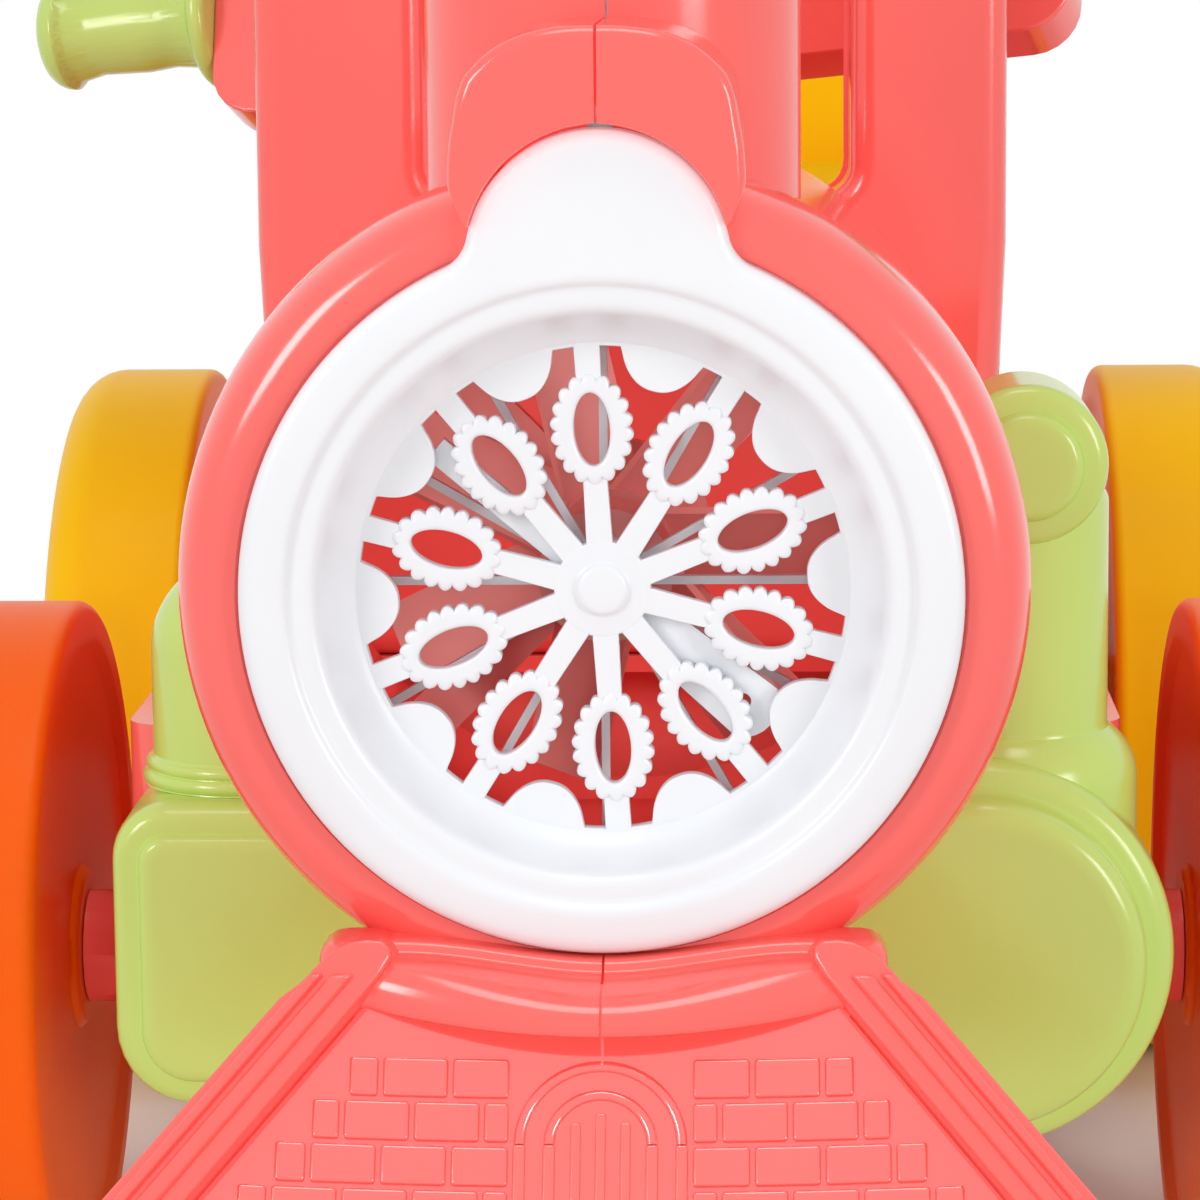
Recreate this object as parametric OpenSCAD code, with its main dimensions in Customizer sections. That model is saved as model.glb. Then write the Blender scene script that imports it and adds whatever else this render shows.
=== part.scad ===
// Bubble train, a toddler's ride-on locomotive with a bubble maker in its boiler front.
// Millimetres, +Z up, the front faces -Y, origin on the floor under the middle of the bounding box.

/* [Overall] */
// Length from the catcher's foot to the backrest
overall_length = 620; // [560:5:680]
// How far the catcher reaches ahead of the white panel
catcher_reach = 50; // [40:1:60]
// Height of the boiler axis above the floor
axis_height = 190; // [180:1:200]
// Wall of the coral mouldings
wall = 3.5; // [2.5:0.1:4.5]
// Gap between the two half-shells at the seam
seam = 0.8; // [0.4:0.1:1.2]
// Standing gap between parts of different bodies
part_gap = 0.3; // [0.25:0.05:0.5]
// Radial clearance of a running fit
run_clear = 0.06; // [0.03:0.01:0.09]
// Radial clearance of a pressed or screwed fit
seat_clear = 0.02; // [0.01:0.01:0.05]

/* [Boiler shell] */
// Largest radius of the front ring
ring_r = 81; // [79:0.5:84]
// Radius of the barrel
barrel_r = 78; // [76:0.5:78.5]
// Depth at which the ring is widest
ring_depth = 26; // [22:1:30]
// Depth of the barrel's rear end
barrel_end = 205; // [200:1:210]
// Half-width of the hood over the tongue
hood_half_w = 27; // [25:0.5:29]
// Height of the hood's top above the axis
hood_top = 106; // [102:1:110]
// Depth of the hood's front face
hood_front = -3; // [-5:0.5:-1]
// Radius of the chimney stack
stack_r = 38; // [36:0.5:39]
// Depth of the chimney's axis
stack_depth = 95; // [90:1:100]
// Height of the stack's rim above the axis
stack_top = 150; // [140:1:158]
// Radius of the crown lip
crown_r = 41; // [39:0.5:43]

/* [Front panel] */
// Radius of the white panel
panel_r = 67.5; // [66:0.25:68]
// Height of the tongue's top above the axis
tongue_top = 87; // [84:0.5:89]
// Radius of the tongue's round top
tongue_r = 24.6; // [23:0.2:25]
// Depth of the wand plate's front
dish_depth = 13; // [12:0.5:14]
// Radius where the dish wall meets the wand plate
dish_r = 49.5; // [49:0.25:50.5]

/* [Wand grille] */
// Number of wands
wand_count = 10; // [8:1:10]
// Turn of the grille about its hub
wand_turn = 3.3; // [0:0.1:6]
// Radius of the slots' outer arc
slot_r = 46; // [45:0.1:46.5]
// Radius of the lobes between the wands
lobe_r = 7.4; // [6:0.1:8]
// Distance of the wand centres from the hub
wand_at = 30.4; // [29:0.1:31]
// Half-width of a wand without its teeth
wand_half_w = 6.8; // [6:0.1:7.2]
// Half-length of a wand without its teeth
wand_half_l = 9.5; // [9:0.1:10]
// Height of a wand's teeth
tooth_h = 1.1; // [0.6:0.1:1.3]
// Teeth around one wand
tooth_count = 18; // [16:2:22]
// Half-width of a wand's hole
hole_half_w = 3.4; // [3:0.1:3.8]
// Half-length of a wand's hole
hole_half_l = 6.9; // [6.4:0.1:7.2]
// Width of the spokes
spoke_w = 4.5; // [4:0.1:5]

/* [Bubble drive] */
// Radius of the wiper's shaft
wiper_shaft_r = 2; // [1.5:0.1:2.5]
// Reach of the wiper's arms
wiper_reach = 41; // [38:0.5:43]
// Number of guard ribs
rib_count = 12; // [8:1:16]
// Radius of the fan's blades
fan_r = 48; // [44:0.5:52]
// Number of fan blades
blade_count = 7; // [5:1:9]
// Radius of the fan's shaft
fan_shaft_r = 1.5; // [1.2:0.1:2]
// Radius of the tank in the stack
tank_r = 31.8; // [29:0.1:31.9]
// Outer radius of the feed tube
tube_r = 2.5; // [2:0.1:3]

/* [Catcher] */
// Slope of the catcher from the vertical
catcher_slope = 32; // [28:0.5:36]
// Half-width of the catcher's top
catcher_top_w = 51; // [48:0.5:54]
// Half-width of the catcher's foot
catcher_foot_w = 116; // [110:1:120]
// Slope length of the catcher
catcher_len = 82; // [76:1:86]
// Thickness of the catcher's frame
catcher_t = 12; // [10:0.5:14]
// Height of the ledge's top above the floor
ledge_top = 126; // [124:0.5:128]

/* [Green cylinders] */
// Distance of the cylinders from the middle
cyl_x = 74; // [72:0.5:76]
// Height of the cylinders above the floor
cyl_z = 101; // [98:0.5:104]
// Depth of the cylinders' front faces
cyl_front = 85; // [80:0.5:90]
// Half-width of the left block
block_half_w = 31; // [29:0.5:32]
// Half-height of the left block
block_half_h = 32.5; // [30:0.5:34]
// Radius of the right cylinder
disc_r = 41.6; // [39:0.2:42.5]
// Radius of the right cylinder's raised cover
cover_r = 35; // [32:0.5:37]
// Distance of the left steam pipe from the middle
pipe_x = 80; // [78:0.5:82]
// Distance of the right steam pipe from the middle
right_pipe_x = 83; // [81:0.5:84]
// Half-width of the steam pipes
pipe_half_w = 20; // [18:0.5:21]
// Height of the left pipe's arch centre
left_pipe_z = 162; // [156:1:166]
// Height of the right pipe's boss
right_boss_z = 202; // [196:1:206]

/* [Chassis and wheels] */
// Depth of the chassis front
chassis_front = 120; // [116:1:124]
// Half-width of the chassis
chassis_half_w = 107; // [104:0.5:108]
// Height of the chassis top
chassis_top = 144; // [140:1:148]
// Height of the chassis skirt's lower edge
chassis_low = 66; // [62:1:70]
// Front wheel radius
front_r = 80; // [76:0.5:82]
// Depth of the front axle
front_axle = 184; // [180:1:190]
// Inner face of the front wheels
front_in = 126; // [122:0.5:128]
// Width of the front wheels
front_w = 34; // [30:0.5:36]
// Rear wheel radius
rear_r = 95; // [90:0.5:98]
// Depth of the rear axle
rear_axle = 410; // [400:1:420]
// Inner face of the rear wheels
rear_in = 122; // [118:0.5:124]
// Width of the rear wheels
rear_w = 38; // [34:0.5:40]
// Axle radius
axle_r = 4.8; // [4:0.1:5.5]

/* [Cab, bar and seat] */
// Half-width of the cab front
cab_half_w = 86.5; // [84:0.5:89]
// Height of the cab's top
cab_top = 378; // [370:1:385]
// Thickness of the cab front
cab_t = 26; // [24:1:28]
// Half-width of the window
window_half_w = 49.5; // [47:0.5:51]
// Height of the window sill
window_sill = 251; // [249:0.5:255]
// Height of the window's head
window_head = 334; // [325:1:340]
// Lean of the steering stem from the vertical
stem_lean = 25; // [20:1:28]
// Turn of the handlebar as it stands
bar_turn = 14; // [8:1:16]
// Radius of the steering stem
stem_r = 9; // [8:0.5:10]
// Half-length of the crossbar
bar_half = 109; // [105:1:112]
// Length of the grips
grip_len = 48; // [44:1:50]
// Half-width of the seat base
seat_half_w = 80; // [75:1:84]
// Height of the seat base's rim
seat_rim = 222; // [215:1:228]
// Height of the backrest's top
back_top = 330; // [320:1:340]
// Travel of the bubble button
button_travel = 3; // [2:0.5:4]

/* [Hidden] */
$fn = 64;
front_y = -overall_length / 2 + catcher_reach;
rear_end = overall_length - catcher_reach;
bore_r = barrel_r - wall;
rim_seat_r = panel_r + 0.4;
ledge_front = 9;
ledge_back = 13;
ledge_r = 60;
bulk_front = 84;
bulk_t = 4;
bulk_back = bulk_front + bulk_t;
plate_t = 2.5;
guard_in = 58;
guard_rib = 24;
guard_end = 27;
boss_end = 30;
cab_back = barrel_end + cab_t;
dash_back = cab_back + 3;
stem_at = [0, dash_back + 26, 235];
bar_at = 60;
grip_up = 13;
box_half_w = 29;
pipe_depth = chassis_front - 6;
lobe_at = tongue_top - tongue_r;
lid_gap = 0.4;
seat_front = 330;
seat_back = rear_end - 22;
pivot_y = seat_back - 2;
pivot_z = seat_rim + 7;
lid_top = seat_rim + 18;
pin_r = 2;
button_x = 62;
button_z = 215;
button_r = 10;
case_half_w = 38;
case_front = 290;
case_back = 352;
case_low = 106;
cell_r = 7.1;
screw_r = 1.6;
screw_head_r = 3.4;
col_coral = [1, 0.45, 0.42];
col_white = [0.95, 0.95, 0.96];
col_green = [0.78, 0.79, 0.44];
col_yellow = [1, 0.72, 0.13];
col_orange = [1, 0.42, 0.02];
col_steel = [0.7, 0.7, 0.72];
col_dark = [0.25, 0.22, 0.22];
col_clear = [0.85, 0.9, 0.95];

// Points of an arc
function arc(cx, cy, r, a0, a1, n) =
  [for (i = [0 : n]) [cx + r * cos(a0 + (a1 - a0) * i / n), cy + r * sin(a0 + (a1 - a0) * i / n)]];

// Rounded box between two corners
function round_box(x0, y0, x1, y1, r, n = 6) = concat(
  arc(x1 - r, y0 + r, r, -90, 0, n), arc(x1 - r, y1 - r, r, 0, 90, n),
  arc(x0 + r, y1 - r, r, 90, 180, n), arc(x0 + r, y0 + r, r, 180, 270, n));

// Rounded box with one radius below and another above
function soft_box(x0, y0, x1, y1, low, high, n = 6) = concat(
  arc(x1 - low, y0 + low, low, -90, 0, n), arc(x1 - high, y1 - high, high, 0, 90, n),
  arc(x0 + high, y1 - high, high, 90, 180, n), arc(x0 + low, y0 + low, low, 180, 270, n));

// Ellipse with its longer half along Y
function oval(a, b, n) = [for (i = [0 : n - 1]) [a * cos(360 * i / n), b * sin(360 * i / n)]];

// Oval with rounded teeth around it
function toothed(a, b, h, teeth) = [for (i = [0 : teeth * 4 - 1])
  let (t = 360 * i / (teeth * 4), k = [0, 0.75, 1, 0.75][i % 4]) [(a + h * k) * cos(t), (b + h * k) * sin(t)]];

module from_front() { translate([0, front_y, axis_height]) children(); }
module on_floor() { translate([0, front_y, 0]) children(); }
module about_y() { rotate([-90, 0, 0]) children(); }
module along_y(d0, d1) { translate([0, d1, 0]) rotate([90, 0, 0]) linear_extrude(d1 - d0) children(); }
module along_x(x0, x1) { translate([x0, 0, 0]) rotate([90, 0, 90]) linear_extrude(x1 - x0) children(); }
module rod_y(r, d0, d1) { translate([0, d0, 0]) rotate([-90, 0, 0]) cylinder(r = r, h = d1 - d0); }
module rod_x(r, x0, x1) { translate([x0, 0, 0]) rotate([0, 90, 0]) cylinder(r = r, h = x1 - x0); }
module box(x0, x1, y0, y1, z0, z1) { translate([x0, y0, z0]) cube([x1 - x0, y1 - y0, z1 - z0]); }

// Outline of the tongue, reaching down inside the panel's rim
module tongue_shape(o) {
  r0 = panel_r - 0.6 + o;
  r1 = tongue_r + o;
  f = 8 - o;
  cy = ((r0 + f) * (r0 + f) - (r1 + f) * (r1 + f) + lobe_at * lobe_at) / (2 * lobe_at);
  cx = sqrt((r0 + f) * (r0 + f) - cy * cy);
  a0 = atan2(cy, cx);
  b0 = atan2(cy - lobe_at, cx);
  polygon(concat([[-18, 54], [18, 54]],
    arc(cx, cy, f, 180 + a0, 180 + b0, 6), arc(0, lobe_at, r1, b0, 180 - b0, 20),
    arc(-cx, cy, f, -b0, -a0, 6)));
}

// Front view of the hood
function hood_points(o) = concat(
  [[-hood_half_w + o, 60], [hood_half_w - o, 60]],
  arc(hood_half_w - 26, hood_top - 23, 26 - o, 0, 36, 4), arc(hood_half_w - 14, hood_top - 9, 9 - o, 30, 90, 4),
  arc(-hood_half_w + 14, hood_top - 9, 9 - o, 90, 150, 4), arc(-hood_half_w + 26, hood_top - 23, 26 - o, 144, 180, 4));

// Slope frame of the catcher: local -Y runs down and forward, local Z points out
module on_slope() { translate([0, 4, 122]) rotate([90 - catcher_slope, 0, 0]) children(); }

// Half-width of the catcher at a slope distance below its top
function catcher_at(v) = catcher_top_w + (catcher_foot_w - catcher_top_w) * v / catcher_len;
function catcher_field(v0, v1, inset) = [
  [-catcher_at(v0) + inset, -v0], [-catcher_at(v1) + inset, -v1], [catcher_at(v1) - inset, -v1], [catcher_at(v0) - inset, -v0]];

module shell_outside() {
  from_front() {
    about_y() rotate_extrude() polygon(concat([[0, 4], [panel_r + 0.5, 4]],
      [for (t = [10 : 10 : 90]) [panel_r + 0.5 + (ring_r - panel_r - 0.5) * sin(t), ring_depth - (ring_depth - 4) * cos(t)]],
      [[ring_r, ring_depth + 4], [barrel_r, ring_depth + 9], [barrel_r, barrel_end], [0, barrel_end]]));
    along_y(hood_front, stack_depth - 30) polygon(hood_points(0));
    translate([0, stack_depth, 40]) cylinder(r = stack_r, h = stack_top - 40);
    translate([0, stack_depth, stack_top - 12]) cylinder(r = crown_r, h = 12);
  }
  on_floor() {
    box(-box_half_w, box_half_w, 5, chassis_front, chassis_low, axis_height - 60);
    along_y(5, 22) polygon([[-44, 96], [44, 96], [44, ledge_top], [-44, ledge_top]]);
  }
}

module shell_inside() {
  from_front() {
    about_y() rotate_extrude() polygon([[0, -30], [rim_seat_r, -30], [rim_seat_r, ledge_front], [ledge_r, ledge_front],
      [ledge_r, ledge_back], [bore_r, ledge_back], [bore_r, bulk_back], [bore_r - 8, bulk_back],
      [bore_r - 8, bulk_back + 4], [bore_r, bulk_back + 4], [bore_r, barrel_end + 1], [0, barrel_end + 1]]);
    along_y(-30, ledge_front) tongue_shape(1.2);
    difference() {
      along_y(ledge_front + 4, stack_depth - 20) polygon(hood_points(wall));
      rod_y(barrel_r - 1, 0, 150);
    }
    translate([0, stack_depth, barrel_r + 0.5]) cylinder(r = tank_r + 0.5, h = stack_top);
    translate([0, 19.5, 52]) cylinder(r = tube_r + 0.5, h = 45);
  }
  on_floor() {
    difference() {
      box(-box_half_w + wall, box_half_w - wall, 5 + wall, chassis_front - wall, chassis_low - 1, axis_height - 50);
      translate([0, 0, axis_height]) rod_y(barrel_r - 1, 0, 150);
    }
  }
}

module catcher_frame() {
  on_floor() {
    difference() {
      on_slope() difference() {
        linear_extrude(catcher_t) polygon(catcher_field(0, catcher_len, 0));
        translate([0, 0, 2]) linear_extrude(catcher_t) polygon(catcher_field(14, catcher_len - 9, 16));
        translate([0, 0, -1]) linear_extrude(catcher_t) polygon(catcher_field(19, catcher_len - 14, 20));
      }
      box(-130, 130, -20, 40, ledge_top - 8, 200);
    }
    translate([0, 0, ledge_top - 15]) linear_extrude(15) polygon(concat(
      [[-50, 12], [50, 12]], arc(50, -3, 8, -20, -90, 5),
      [for (x = [40 : -10 : -40]) [x, -17 + 6 * x * x / 2500]], arc(-50, -3, 8, 270, 200, 5)));
    for (s = [-1, 1]) along_x(s > 0 ? 20 : -box_half_w, s > 0 ? box_half_w : -20)
      polygon([[6, 112], [6, chassis_low], [-31.5, chassis_low], [-4, 112]]);
  }
}

module body_half(side) {
  color(col_coral) difference() {
    union() {
      difference() {
        union() {
          shell_outside();
          catcher_frame();
        }
        shell_inside();
      }
    }
    box(side > 0 ? -300 : -seam / 2, side > 0 ? seam / 2 : 300, -400, 400, -10, 500);
  }
}

module body_left() { body_half(-1); }
module body_right() { body_half(1); }

module front_panel() {
  color(col_white) from_front() difference() {
    union() {
      about_y() rotate_extrude() polygon([[panel_r, ledge_front], [panel_r, 5.5], [panel_r - 0.7, 3.2], [panel_r - 2.4, 1.2],
        [panel_r - 5, 0.2], [panel_r - 7.5, 0], [panel_r - 9.2, 0.5], [panel_r - 10, 1.3], [panel_r - 11.5, 1.5],
        [panel_r - 14, 1.9], [panel_r - 15.3, 3], [dish_r + 1, 8], [dish_r, dish_depth], [dish_r + 2.6, dish_depth],
        [dish_r + 3.4, 8.6], [panel_r - 12.6, 4.6], [panel_r - 7, 3.4], [panel_r - 7, ledge_front]]);
      along_y(2, ledge_front) tongue_shape(0);
    }
    rod_y(panel_r - 5, 4, 30);
  }
}

module wand_grille() {
  color(col_white) from_front() rotate([0, -wand_turn, 0]) {
    along_y(dish_depth, dish_depth + plate_t) difference() {
      circle(r = dish_r + 4.5);
      difference() {
        circle(r = slot_r);
        for (i = [0 : wand_count - 1]) rotate(360 * (i + 0.5) / wand_count) translate([0, slot_r]) circle(r = lobe_r);
        for (i = [0 : wand_count - 1]) rotate(360 * i / wand_count) {
          translate([-2.5, wand_at + 9]) square([5, 12]);
          translate([-spoke_w / 2, 0]) square([spoke_w, wand_at - 8]);
        }
        circle(r = 8.5);
      }
    }
    for (i = [0 : wand_count - 1]) rotate([0, 360 * i / wand_count, 0]) translate([0, 0, wand_at])
      along_y(dish_depth - 0.8, dish_depth + plate_t) difference() {
        polygon(toothed(wand_half_w, wand_half_l, tooth_h, tooth_count));
        polygon(oval(hole_half_w, hole_half_l, 32));
      }
    rod_y(4.5, dish_depth - 1.6, dish_depth + 0.5);
  }
}

module wiper_arm() {
  d0 = dish_depth + plate_t + part_gap + 0.3;
  color(col_white) from_front() difference() {
    rotate([0, 40, 0]) {
      rod_y(7, d0, d0 + 5);
      along_y(d0, d0 + 3) polygon(concat(arc(wand_at + 4, 0, 7, -60, 60, 8), [[5, 4.5]], [[5, -4.5]]));
      along_y(d0, d0 + 3) polygon([[-wiper_reach, -2.5], [-wiper_reach, 2.5], [0, 2.5], [0, -2.5]]);
    }
    rod_y(wiper_shaft_r + seat_clear, d0 + 1.5, d0 + 10);
    rotate([0, 40, 0]) translate([wand_at + 4, 0, 0]) rod_y(1.6, d0 - 1, d0 + 5);
  }
}

module wiper_shaft() {
  color(col_steel) from_front() rod_y(wiper_shaft_r, dish_depth + plate_t + part_gap + 1.8, 42);
}

module wiper_gearmotor() {
  color(col_dark) from_front() difference() {
    union() {
      rod_y(13, boss_end, 48);
      rod_y(10, 48, 60);
    }
    rod_y(wiper_shaft_r + run_clear, boss_end - 1, 43);
  }
}

module air_guard() {
  color(col_white) from_front() difference() {
    union() {
      rotate([0, 8, 0]) about_y() rotate_extrude() polygon([[guard_in, ledge_back], [bore_r - 4.5, ledge_back], [bore_r - 4.5, ledge_back + 3],
        [guard_in + 2.5, ledge_back + 3], [guard_in + 2.5, guard_end], [guard_in, guard_end]]);
      for (i = [0 : rib_count - 1]) rotate([0, 360 * i / rib_count, 0])
        box(5, guard_in + 1, guard_rib, guard_end - 0.6, -0.8, 0.8);
      rod_y(8, guard_rib - 1, boss_end);
    }
    rod_y(wiper_shaft_r + run_clear, 0, 40);
    box(-tube_r - 0.3, tube_r + 0.3, 19.2 - tube_r, 19.8 + tube_r, 45, 66);
  }
}

module fan_impeller() {
  color(col_coral) from_front() difference() {
    union() {
      rod_y(12, 66, 80);
      for (i = [0 : blade_count - 1]) rotate([0, 360 * i / blade_count, 0]) translate([0, 73, 0])
        rotate([35, 0, 0]) box(8, fan_r, -1, 1, -9, 9);
    }
    rod_y(fan_shaft_r + seat_clear, 60, 90);
  }
}

module fan_shaft() { color(col_steel) from_front() rod_y(fan_shaft_r, 65, 108); }

module fan_motor() {
  color(col_steel) from_front() difference() {
    union() {
      rod_y(14, bulk_back, bulk_back + 32);
      rod_y(5, bulk_front - 1.5, bulk_back + 1);
    }
    rod_y(fan_shaft_r + run_clear, 70, 109);
  }
}

module motor_bulkhead() {
  color(col_coral) from_front() difference() {
    union() {
      about_y() rotate_extrude() polygon([[62, bulk_front], [bore_r - 0.8, bulk_front], [bore_r - 0.8, bulk_back], [62, bulk_back]]);
      for (a = [45, 135]) rotate([0, a, 0]) box(-64, 64, bulk_front, bulk_back, -5, 5);
      rod_y(20, bulk_front, bulk_back);
    }
    rod_y(5 + seat_clear, 60, 120);
  }
}

module solution_tank() {
  color(col_clear) from_front() difference() {
    union() {
      translate([0, stack_depth, barrel_r + 1.5]) cylinder(r = tank_r, h = stack_top - barrel_r - 1);
      translate([0, stack_depth, stack_top]) cylinder(r = 38, h = 3);
      translate([0, 0, barrel_r + 10]) rod_y(4.2, stack_depth - tank_r - 5, stack_depth - 25);
    }
    translate([0, stack_depth, barrel_r + 3.5]) cylinder(r = tank_r - 2, h = stack_top);
    translate([0, 0, barrel_r + 10]) rod_y(tube_r + seat_clear, 40, stack_depth - 20);
  }
}

module feed_tube() {
  h = barrel_r + 10;
  color(col_clear) from_front() difference() {
    union() {
      translate([0, 0, h]) rod_y(tube_r, 19.5, stack_depth - tank_r + 1);
      translate([0, 19.5, 47]) cylinder(r = tube_r, h = h - 47);
      translate([0, 19.5, h]) sphere(r = tube_r);
    }
    translate([0, 0, h]) rod_y(tube_r - 1, 19.5, stack_depth);
    translate([0, 19.5, 46]) cylinder(r = tube_r - 1, h = h - 46);
  }
}

module chimney_cap() {
  color(col_green) from_front() translate([0, stack_depth, stack_top + 3 + part_gap]) rotate_extrude()
    polygon([[0, -6], [tank_r - 4.3, -6], [tank_r - 4.3, 0], [36, 0], [36, 4], [34, 6], [16, 7.5], [14, 9], [14, 16],
      [12, 18], [0, 18]]);
}

module catcher_panel() {
  rows = 6;
  v0 = (122 + 7.5 * sin(catcher_slope) - ledge_top + 15 + part_gap) / cos(catcher_slope);
  v1 = catcher_len - 9.2;
  pitch = (v1 - v0 - 4) / rows;
  color(col_coral) on_floor() on_slope() {
    translate([0, 0, 2]) linear_extrude(4) polygon(catcher_field(v0, v1, 16.25));
    intersection() {
      translate([0, 0, 5.5]) linear_extrude(2) union() for (r = [0 : rows - 1]) for (c = [-9 : 9])
        translate([c * 16 + (r % 2) * 8 - 7, -v0 - 2 - (r + 1) * pitch + 1.2]) square([14, pitch - 1.6]);
      translate([0, 0, 2]) linear_extrude(8) polygon(catcher_field(v0 + 1.2, v1 - 1.2, 18.5));
    }
  }
}

// Room that the boiler takes out of its neighbours
module barrel_room(gap) { translate([0, 0, axis_height]) rod_y(barrel_r + gap, 34, barrel_end + 2); }

// Flat back of the steam pipes against the chassis front
module pipe_back() { box(-150, 150, chassis_front, chassis_front + 60, cyl_z - 60, axis_height + 60); }

module left_cylinder() {
  color(col_green) on_floor() difference() {
    union() {
      translate([-cyl_x - 1, 0, cyl_z]) {
        along_y(cyl_front, chassis_front) polygon(soft_box(-block_half_w, -block_half_h, block_half_w, block_half_h, 17, 12));
        along_y(cyl_front - 3, cyl_front + 1)
          polygon(soft_box(-block_half_w + 6, -block_half_h + 6, block_half_w - 6, block_half_h - 6, 12, 8));
      }
    }
    barrel_room(0.3);
    screw_holes(-1);
  }
}

module left_steam_pipe() {
  low = cyl_z + block_half_h;
  color(col_green) on_floor() difference() {
    union() {
      translate([-pipe_x, pipe_depth, low]) cylinder(r = pipe_half_w, h = left_pipe_z - low);
      translate([-pipe_x, pipe_depth, left_pipe_z]) sphere(r = pipe_half_w);
      translate([-pipe_x, pipe_depth, low]) rotate_extrude() polygon(concat([[0, 0], [pipe_half_w + 2, 0]],
        arc(pipe_half_w + 0.6, 1.7, 1.7, -50, 60, 4), arc(pipe_half_w + 0.2, 4.6, 1.4, -50, 60, 4), [[0, 5.8]]));
    }
    barrel_room(0.3);
    pipe_back();
  }
}

module right_cylinder() {
  color(col_green) on_floor() difference() {
    translate([cyl_x, 0, cyl_z]) union() {
      rod_y(disc_r, cyl_front, front_axle - front_r - 1.5);
      rod_y(min(disc_r, front_in - cyl_x - 1), cyl_front, chassis_front);
      about_y() rotate_extrude() polygon([[0, cyl_front - 10], [cover_r - 2, cyl_front - 10], [cover_r, cyl_front - 8],
        [cover_r, cyl_front + 1], [0, cyl_front + 1]]);
    }
    barrel_room(0.3);
    screw_holes(1);
  }
}

module right_steam_pipe() {
  top = right_boss_z - 5 - cyl_z;
  color(col_green) on_floor() difference() {
    union() {
      translate([right_pipe_x, pipe_depth, cyl_z]) rotate_extrude() polygon(concat([[0, 20], [pipe_half_w, 20]],
        arc(pipe_half_w - 4, top - 4, 4, 0, 90, 5), [[0, top]]));
      translate([right_pipe_x, pipe_depth, cyl_z]) rotate_extrude() polygon(concat([[0, 20], [pipe_half_w + 6.5, 20]],
        arc(pipe_half_w - 6.5, 33.3, 13, 0, 62, 6), [[0, 33.3 + 13 * sin(62)]]));
      translate([right_pipe_x + 1.8, 0, right_boss_z + 1]) about_y() rotate_extrude()
        polygon([[0, 88], [10, 88], [11, 89], [11, 91], [15, 91], [16.6, 92.5], [16.6, chassis_front], [0, chassis_front]]);
    }
    barrel_room(0.3);
    pipe_back();
    translate([cyl_x, 0, cyl_z]) rod_y(disc_r + 0.15, 60, chassis_front + 1);
  }
}

// Screw holes through the chassis front into a green cylinder
module screw_holes(s) {
  for (z = [-14, 14]) translate([s * cyl_x, 0, cyl_z + z - 6]) rod_y(screw_r + 0.1, chassis_front - 15, chassis_front + 10);
}

module chassis() {
  color(col_coral) on_floor() difference() {
    union() {
      difference() {
        translate([0, 0, chassis_low]) linear_extrude(chassis_top - chassis_low)
          polygon(soft_box(-chassis_half_w, chassis_front, chassis_half_w, rear_end, 8, 36));
        translate([0, 0, chassis_low - 1]) linear_extrude(chassis_top - chassis_low - 3)
          polygon(soft_box(-chassis_half_w + 4, chassis_front + 4, chassis_half_w - 4, rear_end - 4, 4, 32));
      }
      for (y = [front_axle + 40, rear_axle - 48, rear_axle + 48])
        box(-chassis_half_w + 2, chassis_half_w - 2, y - 2, y + 2, chassis_low + 8, chassis_top - 2);
      for (s = [-1, 1]) {
        box(s > 0 ? chassis_half_w - 10 : -chassis_half_w + 6, s > 0 ? chassis_half_w - 6 : -chassis_half_w + 10,
          chassis_front + 8, barrel_end, chassis_top - 2, chassis_top + 13);
        translate([0, front_axle, front_r]) rod_x(13, s > 0 ? chassis_half_w - 12 : -front_in + part_gap,
          s > 0 ? front_in - part_gap : -chassis_half_w + 12);
        translate([0, rear_axle, rear_r]) rod_x(14, s > 0 ? chassis_half_w - 12 : -rear_in + part_gap,
          s > 0 ? rear_in - part_gap : -chassis_half_w + 12);
      }
    }
    barrel_room(0.2);
    screw_holes(-1);
    screw_holes(1);
    translate([0, front_axle, front_r]) rod_x(axle_r + seat_clear, -200, 200);
    translate([0, rear_axle, rear_r]) rod_x(axle_r + seat_clear, -200, 200);
  }
}

module front_axle_rod() { color(col_steel) on_floor() translate([0, front_axle, front_r]) rod_x(axle_r, -front_in - front_w + 7, front_in + front_w - 7); }
module rear_axle_rod() { color(col_steel) on_floor() translate([0, rear_axle, rear_r]) rod_x(axle_r, -rear_in - rear_w + 7, rear_in + rear_w - 7); }

// Wheel on its side: smooth towards the train, open outside, ribs between hub and rim
module wheel(r, w, ribs) {
  rotate([0, 90, 0]) union() {
    rotate_extrude() polygon(concat(
      [[axle_r + run_clear, 0], [17, 0], [19, 2], [r - 11, 2], [r - 8, 0], [r - 3, 0]],
      arc(r - 3, 3, 3, -90, 0, 4), arc(r - 12, w - 12, 12, 0, 90, 8),
      [[r - 15, w], [r - 16, w - 1], [r - 16, w - 5], [r - 8, w - 13], [r - 8, 6], [29, 6], [29, w], [24, w], [24, w - 4],
       [10, w - 4], [10, w - 10], [axle_r + run_clear, w - 10]]));
    for (i = [0 : ribs - 1]) rotate(360 * i / ribs) box(27, r - 7, -2, 2, 5, w - 14);
  }
}

// Hub cap pressed into the wheel's outer face
module hub_cap(w) {
  rotate([0, 90, 0]) rotate_extrude()
    polygon([[0, w - 3.5], [11, w - 3.5], [11, w - 4], [24 - seat_clear, w - 4], [24 - seat_clear, w], [20, w + 2], [0, w + 3]]);
}

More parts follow.
